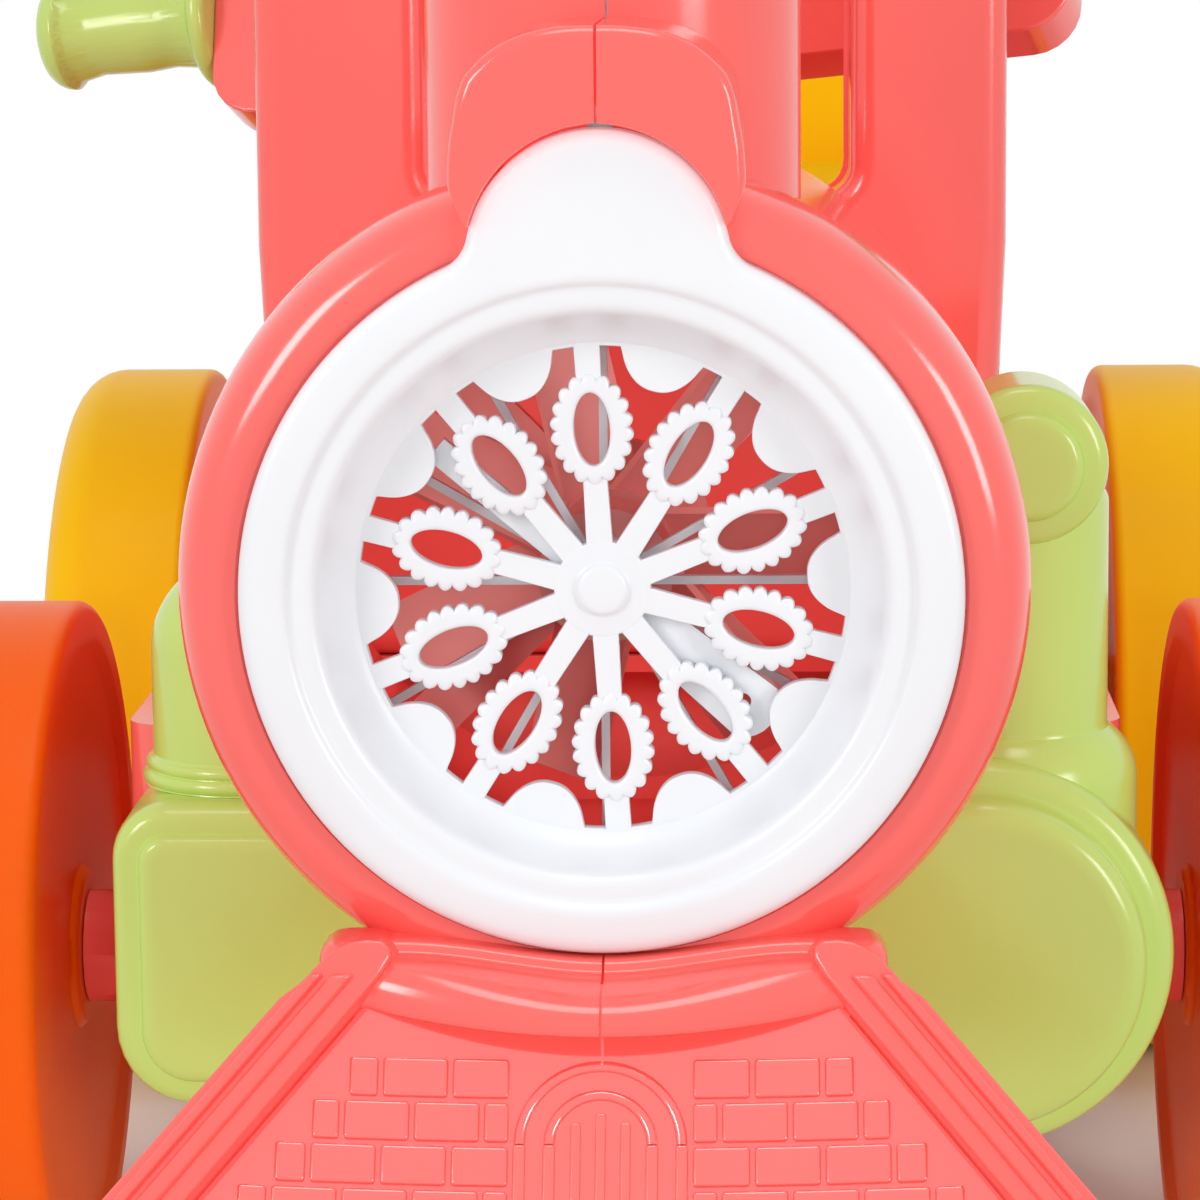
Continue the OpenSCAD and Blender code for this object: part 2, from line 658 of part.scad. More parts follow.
module at_front_wheel(s) { on_floor() translate([s * front_in, front_axle, front_r]) mirror([s > 0 ? 0 : 1, 0, 0]) children(); }
module at_rear_wheel(s) { on_floor() translate([s * rear_in, rear_axle, rear_r]) mirror([s > 0 ? 0 : 1, 0, 0]) children(); }
module front_wheel_left() { color(col_orange) at_front_wheel(-1) wheel(front_r, front_w, 8); }
module front_wheel_right() { color(col_orange) at_front_wheel(1) wheel(front_r, front_w, 8); }
module rear_wheel_left() { color(col_yellow) at_rear_wheel(-1) wheel(rear_r, rear_w, 8); }
module rear_wheel_right() { color(col_yellow) at_rear_wheel(1) wheel(rear_r, rear_w, 8); }
module front_cap_left() { color(col_yellow) at_front_wheel(-1) hub_cap(front_w); }
module front_cap_right() { color(col_yellow) at_front_wheel(1) hub_cap(front_w); }
module rear_cap_left() { color(col_orange) at_rear_wheel(-1) hub_cap(rear_w); }
module rear_cap_right() { color(col_orange) at_rear_wheel(1) hub_cap(rear_w); }

module nut(w) {
  difference() {
    rod_x(8.5, w - 10 + part_gap, w - 8);
    rod_x(axle_r + seat_clear, 0, w + 1);
  }
}

module axle_nuts() {
  color(col_steel) {
    for (s = [-1, 1]) at_front_wheel(s) nut(front_w);
    for (s = [-1, 1]) at_rear_wheel(s) nut(rear_w);
  }
}

// Front view of the cab, smaller by an inset
function cab_points(o) = concat(
  [[-cab_half_w + 4 + o, chassis_top + o], [cab_half_w - 4 - o, chassis_top + o], [cab_half_w - o, 240]],
  arc(cab_half_w - 30, cab_top - 30, 30 - o, 0, 90, 8), arc(-cab_half_w + 30, cab_top - 30, 30 - o, 90, 180, 8),
  [[-cab_half_w + o, 240]]);

module window_shape(o) { polygon(round_box(-window_half_w - o, window_sill - o, window_half_w + o, window_head + o, 7 + o)); }

module cab_front() {
  color(col_coral) on_floor() difference() {
    along_y(barrel_end, cab_back) polygon(cab_points(0));
    along_y(barrel_end - 1, cab_back + 1) window_shape(0);
    difference() {
      along_y(barrel_end + 4, cab_back + 1) polygon(cab_points(4));
      along_y(barrel_end, cab_back + 2) window_shape(4);
      for (p = dash_screw_at) translate([p[0], 0, p[1]]) rod_y(6, barrel_end, cab_back + 2);
    }
    for (p = dash_screw_at) translate([p[0], 0, p[1]]) rod_y(screw_r + 0.1, cab_back - 13, cab_back + 2);
  }
}

dash_screw_at = [[-70, 160], [70, 160], [-68, 356], [68, 356]];

module dash_panel() {
  color(col_coral) on_floor() difference() {
    along_y(cab_back, dash_back) polygon(cab_points(0));
    along_y(cab_back - 1, dash_back + 1) window_shape(0);
    translate([button_x, 0, button_z]) rod_y(button_r + 0.25, cab_back - 1, dash_back + 1);
    for (p = dash_screw_at) translate([p[0], 0, p[1]]) rod_y(screw_r + 0.1, cab_back - 13, dash_back + 2);
  }
}

// Steering axis: local Z runs up the stem
module on_stem() { on_floor() translate(stem_at) rotate([-stem_lean, 0, 0]) children(); }

module steering_bush() {
  color(col_coral) difference() {
    union() {
      on_stem() translate([0, 0, -20]) cylinder(r = 16, h = 34);
      on_floor() difference() {
        box(-15, 15, dash_back, dash_back + 26, 212, 246);
        on_stem_inside();
      }
    }
    on_stem() translate([0, 0, -60]) cylinder(r = stem_r + run_clear, h = 120);
    on_floor() box(-40, 40, dash_back - 40, dash_back, 150, 300);
  }
}

module on_stem_inside() { translate(stem_at) rotate([-stem_lean, 0, 0]) translate([0, 0, -60]) cylinder(r = 15, h = 120); }

module handlebar() {
  color(col_coral) on_stem() rotate([0, 0, -bar_turn]) union() {
    translate([0, 0, -26]) cylinder(r = stem_r, h = 26 + bar_at);
    translate([0, 0, 14 + part_gap]) cylinder(r = 14, h = bar_at - 14);
    translate([0, 0, bar_at]) along_y(-8, 8) polygon(round_box(-bar_half, -17, bar_half, 30, 12));
    translate([0, 0, bar_at + grip_up]) rod_x(6.5, -bar_half - grip_len + 8, bar_half + grip_len - 8);
  }
}

module grip(s) {
  color(col_green) on_stem() rotate([0, 0, -bar_turn]) translate([0, 0, bar_at + grip_up]) mirror([s > 0 ? 0 : 1, 0, 0])
    translate([bar_half, 0, 0]) rotate([0, 90, 0]) rotate_extrude() polygon(concat(
      [[6.5 + seat_clear, 0], [15, 0]], arc(15, 2.5, 2.5, -90, 90, 6),
      [[12, 6.5], [11, 14], [11.6, grip_len * 0.45], [11, grip_len - 14], [12.2, grip_len - 8]],
      arc(8, grip_len - 6, 6, 0, 90, 5), [[0, grip_len], [0, grip_len - 8 + 0.02], [6.5 + seat_clear, grip_len - 8 + 0.02]]));
}
module left_grip() { grip(-1); }
module right_grip() { grip(1); }

module bubble_button() {
  color(col_yellow) on_floor() translate([button_x, 0, button_z]) about_y() rotate_extrude() polygon([[0, cab_back - 3.5],
    [button_r + 2.5, cab_back - 3.5], [button_r + 2.5, cab_back - part_gap], [button_r, cab_back - part_gap],
    [button_r, dash_back + 4], [button_r - 1.5, dash_back + 5.5], [0, dash_back + 6]]);
}

module bubble_switch() {
  color(col_dark) on_floor() union() {
    box(button_x - 8, button_x + 8, barrel_end + 4, cab_back - 9, button_z - 6, button_z + 6);
    translate([button_x, 0, button_z]) rod_y(2.5, cab_back - 10, cab_back - 4 - button_travel);
  }
}

module seat_base() {
  color(col_coral) on_floor() union() {
    difference() {
      box(-seat_half_w, seat_half_w, seat_front, seat_back, chassis_top, seat_rim);
      box(-seat_half_w + 4, seat_half_w - 4, seat_front + 4, seat_back - 4, chassis_top - 1, seat_rim + 1);
      box(-64, 64, seat_back - 12, seat_back + 1, pivot_z - 13, seat_rim + 1);
    }
    for (x = [-60, 46]) difference() {
      union() {
        translate([0, pivot_y, pivot_z]) rod_x(6, x, x + 14);
        box(x, x + 14, pivot_y - 3, pivot_y + 3, pivot_z - 16, pivot_z);
      }
      translate([0, pivot_y, pivot_z]) rod_x(pin_r + seat_clear, x - 1, x + 15);
    }
  }
}

module seat_lid() {
  color(col_yellow) on_floor() difference() {
    union() {
      along_y(seat_front - 6, pivot_y - 8) polygon(concat(
        [[-seat_half_w - 4, seat_rim + lid_gap], [seat_half_w + 4, seat_rim + lid_gap], [seat_half_w + 4, lid_top - 8]],
        arc(seat_half_w - 4, lid_top - 8, 8, 10, 90, 5), arc(-seat_half_w + 4, lid_top - 8, 8, 90, 170, 5),
        [[-seat_half_w - 4, lid_top - 8]]));
      for (x = [-45.7, 33.7]) {
        translate([0, pivot_y, pivot_z]) rod_x(6, x, x + 12);
        box(x, x + 12, pivot_y - 12, pivot_y, pivot_z - 3, pivot_z + 5);
      }
    }
    for (x = [-45.7, 33.7]) translate([0, pivot_y, pivot_z]) rod_x(pin_r + run_clear, x - 1, x + 13);
    box(-seat_half_w + 8, seat_half_w - 8, seat_front + 8, pivot_y - 20, seat_rim, lid_top - 6);
  }
}

module hinge_pins() {
  color(col_steel) on_floor() for (x = [-60, 33.7]) translate([0, pivot_y, pivot_z]) rod_x(pin_r, x, x + 26.3);
}

module backrest() {
  color(col_yellow) on_floor() along_y(rear_end - 13, rear_end) polygon(concat(
    [[-58, chassis_top], [58, chassis_top], [72, 250]],
    arc(42, back_top - 30, 30, 0, 90, 8), arc(-42, back_top - 30, 30, 90, 180, 8), [[-72, 250]]));
}

module battery_case() {
  color(col_dark) on_floor() difference() {
    box(-case_half_w, case_half_w, case_front, case_back, case_low, chassis_top - 4);
    box(-case_half_w + 3, case_half_w - 3, case_front + 3, case_back - 3, case_low - 1, chassis_top - 7);
  }
}

module battery_cells() {
  color(col_steel) on_floor() for (x = [-24, -8, 8, 24]) translate([x, 0, chassis_top - 7 - cell_r]) {
    rod_y(cell_r, case_front + 6, case_back - 7.5);
    rod_y(2.6, case_back - 8, case_back - 6);
  }
}

module battery_door() {
  color(col_dark) on_floor() difference() {
    box(-case_half_w - 3, case_half_w + 3, case_front - 3, case_back + 3, case_low - 3, case_low);
    translate([0, case_front + 1.5, case_low - 6]) cylinder(r = screw_r + 0.1, h = 12);
  }
}

// Pan-head screw along local Z, head above the plane
module screw(l) {
  union() {
    translate([0, 0, -l]) cylinder(r = screw_r, h = l + 0.5);
    cylinder(r = screw_head_r, h = 2);
  }
}

module cylinder_screws() {
  color(col_steel) on_floor() for (s = [-1, 1]) for (z = [-14, 14])
    translate([s * cyl_x, chassis_front + 4, cyl_z + z - 6]) rotate([-90, 0, 0]) screw(16);
}

module dash_screws() {
  color(col_steel) on_floor() for (p = dash_screw_at) translate([p[0], dash_back, p[1]]) rotate([-90, 0, 0]) screw(12);
}

module door_screw() {
  color(col_steel) on_floor() translate([0, case_front + 1.5, case_low - 3]) rotate([180, 0, 0]) screw(3);
}

body_left();
body_right();
front_panel();
wand_grille();
wiper_arm();
wiper_shaft();
wiper_gearmotor();
air_guard();
fan_impeller();
fan_shaft();
fan_motor();
motor_bulkhead();
solution_tank();
feed_tube();
chimney_cap();
catcher_panel();
left_cylinder();
left_steam_pipe();
right_cylinder();
right_steam_pipe();
chassis();
front_axle_rod();  // front_axle
rear_axle_rod();  // rear_axle
front_wheel_left();
front_wheel_right();
rear_wheel_left();
rear_wheel_right();
front_cap_left();
front_cap_right();
rear_cap_left();
rear_cap_right();
axle_nuts();
cab_front();
dash_panel();
steering_bush();
handlebar();
left_grip();
right_grip();
bubble_button();
bubble_switch();
seat_base();
seat_lid();
hinge_pins();
backrest();
battery_case();
battery_cells();
battery_door();
cylinder_screws();
dash_screws();
door_screw();
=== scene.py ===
"""Looks of the bubble train: a toddler's ride-on locomotive with a bubble maker in its boiler front.

Lengths inside the makers are millimetres: X to the right seen from the front, Y the depth behind the
white panel's rim, Z the height above the floor. place_piece() turns them into the frame's metres.
"""

import math

import bmesh
import bpy
from mathutils import Matrix, Vector


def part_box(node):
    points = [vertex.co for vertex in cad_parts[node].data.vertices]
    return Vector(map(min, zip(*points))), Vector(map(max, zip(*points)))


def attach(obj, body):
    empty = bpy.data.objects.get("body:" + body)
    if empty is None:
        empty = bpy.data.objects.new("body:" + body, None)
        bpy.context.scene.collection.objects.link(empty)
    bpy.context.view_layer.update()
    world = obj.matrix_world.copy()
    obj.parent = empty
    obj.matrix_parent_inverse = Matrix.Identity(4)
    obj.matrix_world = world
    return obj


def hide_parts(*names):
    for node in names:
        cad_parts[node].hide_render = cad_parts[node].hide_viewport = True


bl_info = {
    "name": "Bubble train",
    "version": (1, 0, 0),
    "blender": (4, 5, 0),
    "location": "3D View > Sidebar > Bubble train",
    "description": "Models the mouldings, wheels and bubble front of a ride-on toy train",
    "category": "Object",
}

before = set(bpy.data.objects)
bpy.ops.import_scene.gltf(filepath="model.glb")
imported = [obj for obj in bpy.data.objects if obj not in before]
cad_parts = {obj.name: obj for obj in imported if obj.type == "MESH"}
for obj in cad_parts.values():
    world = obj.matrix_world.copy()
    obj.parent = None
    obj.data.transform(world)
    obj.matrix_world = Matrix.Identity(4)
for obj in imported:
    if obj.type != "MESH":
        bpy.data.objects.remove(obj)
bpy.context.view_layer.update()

# From the makers' millimetres to the frame's metres, with the depth of the white panel's rim
MM = 0.001
RIM_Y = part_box("front_panel")[0].y
PLACE = Matrix.Translation((0.0, RIM_Y, 0.0)) @ Matrix.Scale(MM, 4)

# Height of the boiler's axis above the floor
SHAFT_LOW, SHAFT_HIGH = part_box("fan_shaft")
AXIS = SHAFT_LOW.z / MM + (SHAFT_HIGH.z - SHAFT_LOW.z) / MM / 2

# Directions
ACROSS = (1, 0, 0)
BACK = (0, 1, 0)
FRONT = (0, -1, 0)
UP = (0, 0, 1)

# Vertices closer than MERGE become one, and faces within EVEN of each other are joined.
# Edges folded by more than FOLDED radians are rounded.
MERGE = 0.002
EVEN = math.radians(0.8)
FOLDED = 0.6

# White panel: radii of its disc, its tongue and the neck between them, the height of the tongue's
# middle above the axis, and the width of the outer rim
DISC_R = 67.8
TONGUE_R = 24.6
NECK_R = 8.0
TONGUE = 62.4
RIM_WIDE = 6.2

# Wand grille: its turn, the depths of its face and back, its radius, and the slots with the lobes of
# their outer edge, half-width in degrees
GRILLE_TURN = math.radians(3.3)
GRILLE_FACE = 13.0
GRILLE_BACK = 15.5
GRILLE_R = 54.0
SLOT_R = 46.0
LOBE_HALF = 9.7
LOBE_DEEP = 7.4

# Wands: degrees from one to the next, distance from the axis, half-sizes of the oval and of its hole,
# number and height of the teeth
WAND_STEP = 36.0
WAND_AT = 30.4
WAND_WIDE = 6.75
WAND_TALL = 9.5
HOLE_WIDE = 3.4
HOLE_TALL = 6.9
TEETH = 18
TOOTH = 1.1

# Catcher: its slope, the depth and height of its upper edge, the half-width there and its growth down
# the slope, the length down the slope, and the width of the rails
SLOPE = math.radians(32.0)
SLOPE_DEPTH = 4.0
SLOPE_TOP = 122.0
CATCHER_HALF = 51.0
CATCHER_FLARE = 65.0
CATCHER_LONG = 82.0
RAIL_WIDE = 16.0

# Depth at which the cylinders and steam pipes stand against the chassis
CHASSIS_FACE = 119.8


def linear(code):
    """Linear colour of an sRGB hex code, with alpha."""
    parts = [int(code[i:i + 2], 16) / 255.0 for i in (1, 3, 5)]
    return tuple(c / 12.92 if c <= 0.04045 else ((c + 0.055) / 1.055) ** 2.4 for c in parts) + (1.0,)


def colour(label, about, code):
    """Colour property with its default from a hex code."""
    return bpy.props.FloatVectorProperty(name=label, description=about, subtype="COLOR", size=4,
                                         min=0.0, max=1.0, default=linear(code))


def length(label, about, value):
    """Length property in metres."""
    return bpy.props.FloatProperty(name=label, description=about, default=value, min=0.0, unit="LENGTH")


class TrainColours(bpy.types.PropertyGroup):
    """Colours of the train's plastics."""
    coral: colour("Coral", "Boiler, cab, chassis and seat box", "#FC645D")
    white: colour("White", "Bubble front, wands and wiper", "#EAEDF2")
    green: colour("Green", "Cylinders, steam pipes, grips and chimney cap", "#C2DA70")
    yellow: colour("Yellow", "Seat lid, backrest and rear wheels", "#FFC408")
    orange: colour("Orange", "Front wheels and rear hub caps", "#FC6A08")
    floor: colour("Floor", "Studio floor", "#F6F0EA")


class TrainSizes(bpy.types.PropertyGroup):
    """Sizes of the train's finish."""
    edge: length("Edge rounding", "Rounding along the edges of the large mouldings", 0.0025)
    small_edge: length("Small rounding", "Rounding along the edges of small parts", 0.0006)
    seam: length("Seam", "Gap between the two half-shells", 0.0005)
    grain: length("Moulded grain", "Size of the orange-peel grain of the plastics", 0.0011)
    courses: bpy.props.IntProperty(name="Brick courses", description="Courses on the catcher panel",
                                   default=6, min=2)
    lens: bpy.props.FloatProperty(name="Lens", description="Focal length of the camera in millimetres",
                                  default=131.0, min=20.0)


# Mesh tools, all in the makers' millimetres

def arc(cx, cy, r, start, end, steps):
    """Points of an arc in a plane, angles in degrees."""
    turns = [math.radians(start + (end - start) * i / steps) for i in range(steps + 1)]
    return [(cx + r * math.cos(t), cy + r * math.sin(t)) for t in turns]


def rounded(x0, y0, x1, y1, low, high):
    """Outline of a box with one corner radius below and one above."""
    steps = 8
    return (arc(x1 - low, y0 + low, low, -90, 0, steps)
            + arc(x1 - high, y1 - high, high, 0, 90, steps)
            + arc(x0 + high, y1 - high, high, 90, 180, steps)
            + arc(x0 + low, y0 + low, low, 180, 270, steps))


def facing(outline, depth):
    """Outline seen from the front, set at a depth."""
    return [(x, depth, z) for x, z in outline]


def ring(bm, points):
    """Closed ring of edges through points."""
    verts = [bm.verts.new(p) for p in points]
    return [bm.edges.new((verts[i - 1], verts[i])) for i in range(len(verts))]


def skin(bm, rings, first=False, last=False):
    """Surface over a row of rings with as many points each, closed by a face at either end if asked."""
    edges = start = ring(bm, rings[0])
    loop = opening = [edge.verts[1] for edge in edges]
    for points in rings[1:]:
        grown = bmesh.ops.extrude_edge_only(bm, edges=edges)["geom"]
        fresh = {g for g in grown if isinstance(g, bmesh.types.BMVert)}
        edges = [g for g in grown if isinstance(g, bmesh.types.BMEdge) and fresh.issuperset(g.verts)]
        sides = [[edge.other_vert(v) for edge in v.link_edges] for v in loop]
        loop = [next(v for v in ends if v in fresh) for ends in sides]
        for v, point in zip(loop, points):
            v.co = point
    if rings[0] is rings[-1]:
        bmesh.ops.remove_doubles(bm, verts=opening + loop, dist=MERGE / 2)
    if first:
        bmesh.ops.contextual_create(bm, geom=start)
    if last:
        bmesh.ops.contextual_create(bm, geom=edges)


def turned(bm, profile, centre, axis, towards, turn=360.0, steps=72, closed=True):
    """Profile of radius and place along the axis, spun about that axis from a first direction."""
    centre, axis, towards = Vector(centre), Vector(axis), Vector(towards)
    verts = [bm.verts.new(centre + towards * r + axis * along) for r, along in profile]
    edges = [bm.edges.new(pair) for pair in zip(verts, verts[1:])]
    if closed:
        edges.append(bm.edges.new((verts[-1], verts[0])))
    geom = verts + edges
    whole = abs(turn) > 359.0
    if not whole:
        geom = geom + bmesh.ops.contextual_create(bm, geom=edges)["faces"]
    bmesh.ops.spin(bm, geom=geom, cent=centre, axis=axis, angle=math.radians(turn), steps=steps,
                   use_merge=whole)


def soften(bm, edges, width, segments=3):
    """Rounds edges."""
    bmesh.ops.bevel(bm, geom=edges, offset=width, offset_type="OFFSET", segments=segments, profile=0.5,
                    affect="EDGES", clamp_overlap=True, material=-1)


def slab(bm, points, push, width=0.0, segments=3, keep=None):
    """Plate with an outline and a thickness, its edges rounded except where keep() holds at both ends."""
    face = bmesh.ops.contextual_create(bm, geom=ring(bm, points))["faces"]
    grown = bmesh.ops.extrude_face_region(bm, geom=face)["geom"]
    far = [g for g in grown if isinstance(g, bmesh.types.BMVert)]
    bmesh.ops.translate(bm, vec=push, verts=far)
    near = [v for f in face if f.is_valid for v in f.verts]
    if width:
        edges = {e for v in far + near for e in v.link_edges}
        edges = [e for e in edges if len(e.link_faces) == 2 and e.calc_face_angle(0.0) > FOLDED]
        if keep:
            edges = [e for e in edges if not (keep(e.verts[0].co) and keep(e.verts[1].co))]
        soften(bm, edges, width, segments)


def block(bm, low, high, width):
    """Box between two corners with rounded edges."""
    low, high = Vector(low), Vector(high)
    verts = bmesh.ops.create_cube(bm, size=1.0)["verts"]
    bmesh.ops.scale(bm, vec=high - low, verts=verts)
    bmesh.ops.translate(bm, vec=(low + high) / 2, verts=verts)
    soften(bm, list({e for v in verts for e in v.link_edges}), width)


def copied(node, width, segments, angle=60.0, shortest=0.4):
    """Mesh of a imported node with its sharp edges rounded, apart from the shortest ones."""
    bm = bmesh.new()
    bm.from_mesh(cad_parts[node].data)
    bmesh.ops.transform(bm, matrix=PLACE.inverted(), verts=bm.verts)
    bmesh.ops.remove_doubles(bm, verts=bm.verts, dist=MERGE)
    bmesh.ops.dissolve_limit(bm, angle_limit=EVEN, verts=bm.verts, edges=bm.edges)
    if width:
        sharp = [e for e in bm.edges if len(e.link_faces) == 2 and e.calc_length() > shortest
                 and e.calc_face_angle(0.0) > math.radians(angle)]
        soften(bm, sharp, width, segments)
    return bm


def place_piece(bm, name, finish, body, nodes, sharp=38.0):
    """Finished object from a bmesh: closed, smooth, coloured, riding on its body."""
    bmesh.ops.remove_doubles(bm, verts=bm.verts, dist=MERGE)
    bmesh.ops.recalc_face_normals(bm, faces=bm.faces)
    bmesh.ops.transform(bm, matrix=PLACE, verts=bm.verts)
    mesh = bpy.data.meshes.new(name)
    bm.to_mesh(mesh)
    bm.free()
    mesh.shade_smooth()
    mesh.set_sharp_from_angle(angle=math.radians(sharp))
    mesh.materials.append(finish)
    piece = bpy.data.objects.new(name, mesh)
    bpy.context.scene.collection.objects.link(piece)
    even = piece.modifiers.new("Even shading", "WEIGHTED_NORMAL")
    even.keep_sharp = True
    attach(piece, body)
    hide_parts(*nodes)
    return piece


def thin_wall(piece):
    """Thin moulded or formed walls let the studio light through to what stands behind them."""
    piece.visible_shadow = False


def dress(node, finish):
    """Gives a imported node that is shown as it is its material."""
    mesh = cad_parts[node].data
    mesh.materials.clear()
    mesh.materials.append(finish)


# Materials

# Clouds of tone about 70 mm across, from a little darker to a little lighter than the colour
CLOUD = 0.07
DARKER = 0.93
LIGHTER = 1.04
# How far the roughness drifts to either side, and how strongly the grain tilts the surface
DRIFT = 0.04
PEEL = 0.35


def add_node(tree, kind, settings=None, links=None):
    """Adds a shader node, sets its values and links its inputs."""
    node = tree.nodes.new(kind)
    for key, value in (settings or {}).items():
        if hasattr(node, key):
            setattr(node, key, value)
        else:
            node.inputs[key].default_value = value
    for key, source in (links or {}).items():
        tree.links.new(source, node.inputs[key])
    return node


def tinted(base, share):
    """Colour made darker or lighter by a share."""
    return tuple(min(1.0, c * share) for c in base[:3]) + (1.0,)


def moulded(name, base, rough, depth, shader):
    """Injection or blow moulded plastic: two close tones in broad clouds, a fine orange-peel grain that
    breaks the highlight, and a roughness that drifts a little with the grain. The real grain is under a
    millimetre, and is drawn a little coarser so that it shows. Its depth is in millimetres. Plated and
    lacquered steel is made the same way."""
    if name in bpy.data.materials:
        return bpy.data.materials[name]
    grain = bpy.context.scene.train_sizes.grain
    material = bpy.data.materials.new(name)
    material.use_nodes = True
    tree = material.node_tree
    tree.nodes.clear()
    place = add_node(tree, "ShaderNodeTexCoord").outputs["Object"]
    peel = add_node(tree, "ShaderNodeTexNoise", {"Scale": 1.0 / grain, "Detail": 2.0}, {"Vector": place})
    cloud = add_node(tree, "ShaderNodeTexNoise", {"Scale": 1.0 / CLOUD, "Detail": 2.0}, {"Vector": place})
    tone = add_node(tree, "ShaderNodeMix",
                    {"data_type": "RGBA", "A": tinted(base, DARKER), "B": tinted(base, LIGHTER)},
                    {0: cloud.outputs["Fac"]})
    gloss = add_node(tree, "ShaderNodeMapRange", {"To Min": rough - DRIFT, "To Max": rough + DRIFT},
                     {"Value": peel.outputs["Fac"]})
    bump = add_node(tree, "ShaderNodeBump", {"Strength": PEEL, "Distance": depth * MM},
                    {"Height": peel.outputs["Fac"]})
    plastic = add_node(tree, "ShaderNodeBsdfPrincipled", shader,
                       {"Base Color": tone.outputs["Result"], "Roughness": gloss.outputs["Result"],
                        "Normal": bump.outputs["Normal"]})
    add_node(tree, "ShaderNodeOutputMaterial", None, {"Surface": plastic.outputs["BSDF"]})
    return material


def tints():
    """Colours set for the train."""
    return bpy.context.scene.train_colours


def coral():
    """Blow moulded HDPE: waxy, with long soft-edged highlights and bright rims."""
    return moulded("HDPE, blow moulded coral", tints().coral, rough=0.16, depth=0.02,
                   shader={"IOR": 1.52, "Specular IOR Level": 0.7})


def coral_gloss():
    """Vacuum formed PET sheet in coral: wet looking, with hard bright lines along its relief."""
    return moulded("PET sheet, vacuum formed coral", linear("#FA5A54"), rough=0.12, depth=0.02,
                   shader={"IOR": 1.57, "Coat Weight": 1.0, "Coat Roughness": 0.04, "Coat IOR": 1.8})


def white():
    """Injection moulded ABS: clean white with a tight satin highlight."""
    return moulded("ABS, moulded white", tints().white, rough=0.3, depth=0.02,
                   shader={"IOR": 1.53})


def green():
    """Blow moulded HDPE in olive lime: smooth and waxy, slightly cloudy, with clear bright edges."""
    return moulded("HDPE, blow moulded green", tints().green, rough=0.2, depth=0.008,
                   shader={"IOR": 1.52})


def yellow():
    """Injection moulded polypropylene: warm yellow with a satin face."""
    return moulded("Polypropylene, moulded yellow", tints().yellow, rough=0.38, depth=0.04,
                   shader={"IOR": 1.49, "Specular IOR Level": 0.12})


def orange():
    """Injection moulded polypropylene: strong orange with a satin face. Light scatters up to 9 mm below
    it, which keeps the colour warm in the shade."""
    return moulded("Polypropylene, moulded orange", tints().orange, rough=0.38, depth=0.04,
                   shader={"IOR": 1.49, "Specular IOR Level": 0.15, "Subsurface Weight": 0.7,
                           "Subsurface Scale": 1.0, "Subsurface Radius": (0.009, 0.003, 0.001)})


def coral_painted_light():
    """Injection moulded ABS in coral, soft and even, painted paler than the shell: painted light that
    lifts the shade on the works behind the wands.
    """
    # Painted light: the coral of the works is lightened to stand in for light inside the boiler
    return moulded("ABS, coral with painted light", linear("#FBA29B"), rough=0.4, depth=0.03,
                   shader={"IOR": 1.53})


def dark():
    """Injection moulded ABS in charcoal: dull, finely grained."""
    return moulded("ABS, grained charcoal", linear("#3A3636"), rough=0.5, depth=0.05,
                   shader={"IOR": 1.53})


def steel():
    """Zinc plated steel: pale metal with a fine haze."""
    return moulded("Steel, zinc plated", linear("#C9CACC"), rough=0.3, depth=0.01,
                   shader={"Metallic": 1.0})


def cells():
    """Lacquered steel battery jacket: plain grey with a metal sheen."""
    return moulded("Steel, lacquered battery jacket", linear("#6E7074"), rough=0.35, depth=0.01,
                   shader={"Metallic": 0.6})


def clear():
    """Blow moulded natural polypropylene: milky, lets light through."""
    return moulded("Polypropylene, natural milky", linear("#DDE6EC"), rough=0.34, depth=0.02,
                   shader={"IOR": 1.49, "Transmission Weight": 0.55})


# Bubble front

def panel_outline(inset):
    """Outline of the disc with a rounded tongue on top, shrunk by an inset."""
    disc, lobe, neck = DISC_R - inset, TONGUE_R - inset, NECK_R + inset
    cz = ((disc + neck) ** 2 - (lobe + neck) ** 2 + TONGUE ** 2) / (2 * TONGUE)
    cx = math.sqrt((disc + neck) ** 2 - cz ** 2)
    low = math.degrees(math.atan2(cz, cx))
    high = math.degrees(math.atan2(cz - TONGUE, cx))
    right = arc(0, 0, disc, -90, low, 64)[:-1] + arc(cx, cz, neck, 180 + low, 180 + high, 10)[:-1]
    right = right + arc(0, TONGUE, lobe, high, 90, 24)
    left = [(-x, z) for x, z in reversed(right[1:-1])]
    return [(x, z + AXIS) for x, z in right + left]


def panel_circle(r):
    """Circle with one point for each point of the panel's outline, in the same directions."""
    turns = [math.atan2(z - AXIS, x) for x, z in panel_outline(RIM_WIDE)]
    return [(r * math.cos(t), AXIS + r * math.sin(t)) for t in turns]


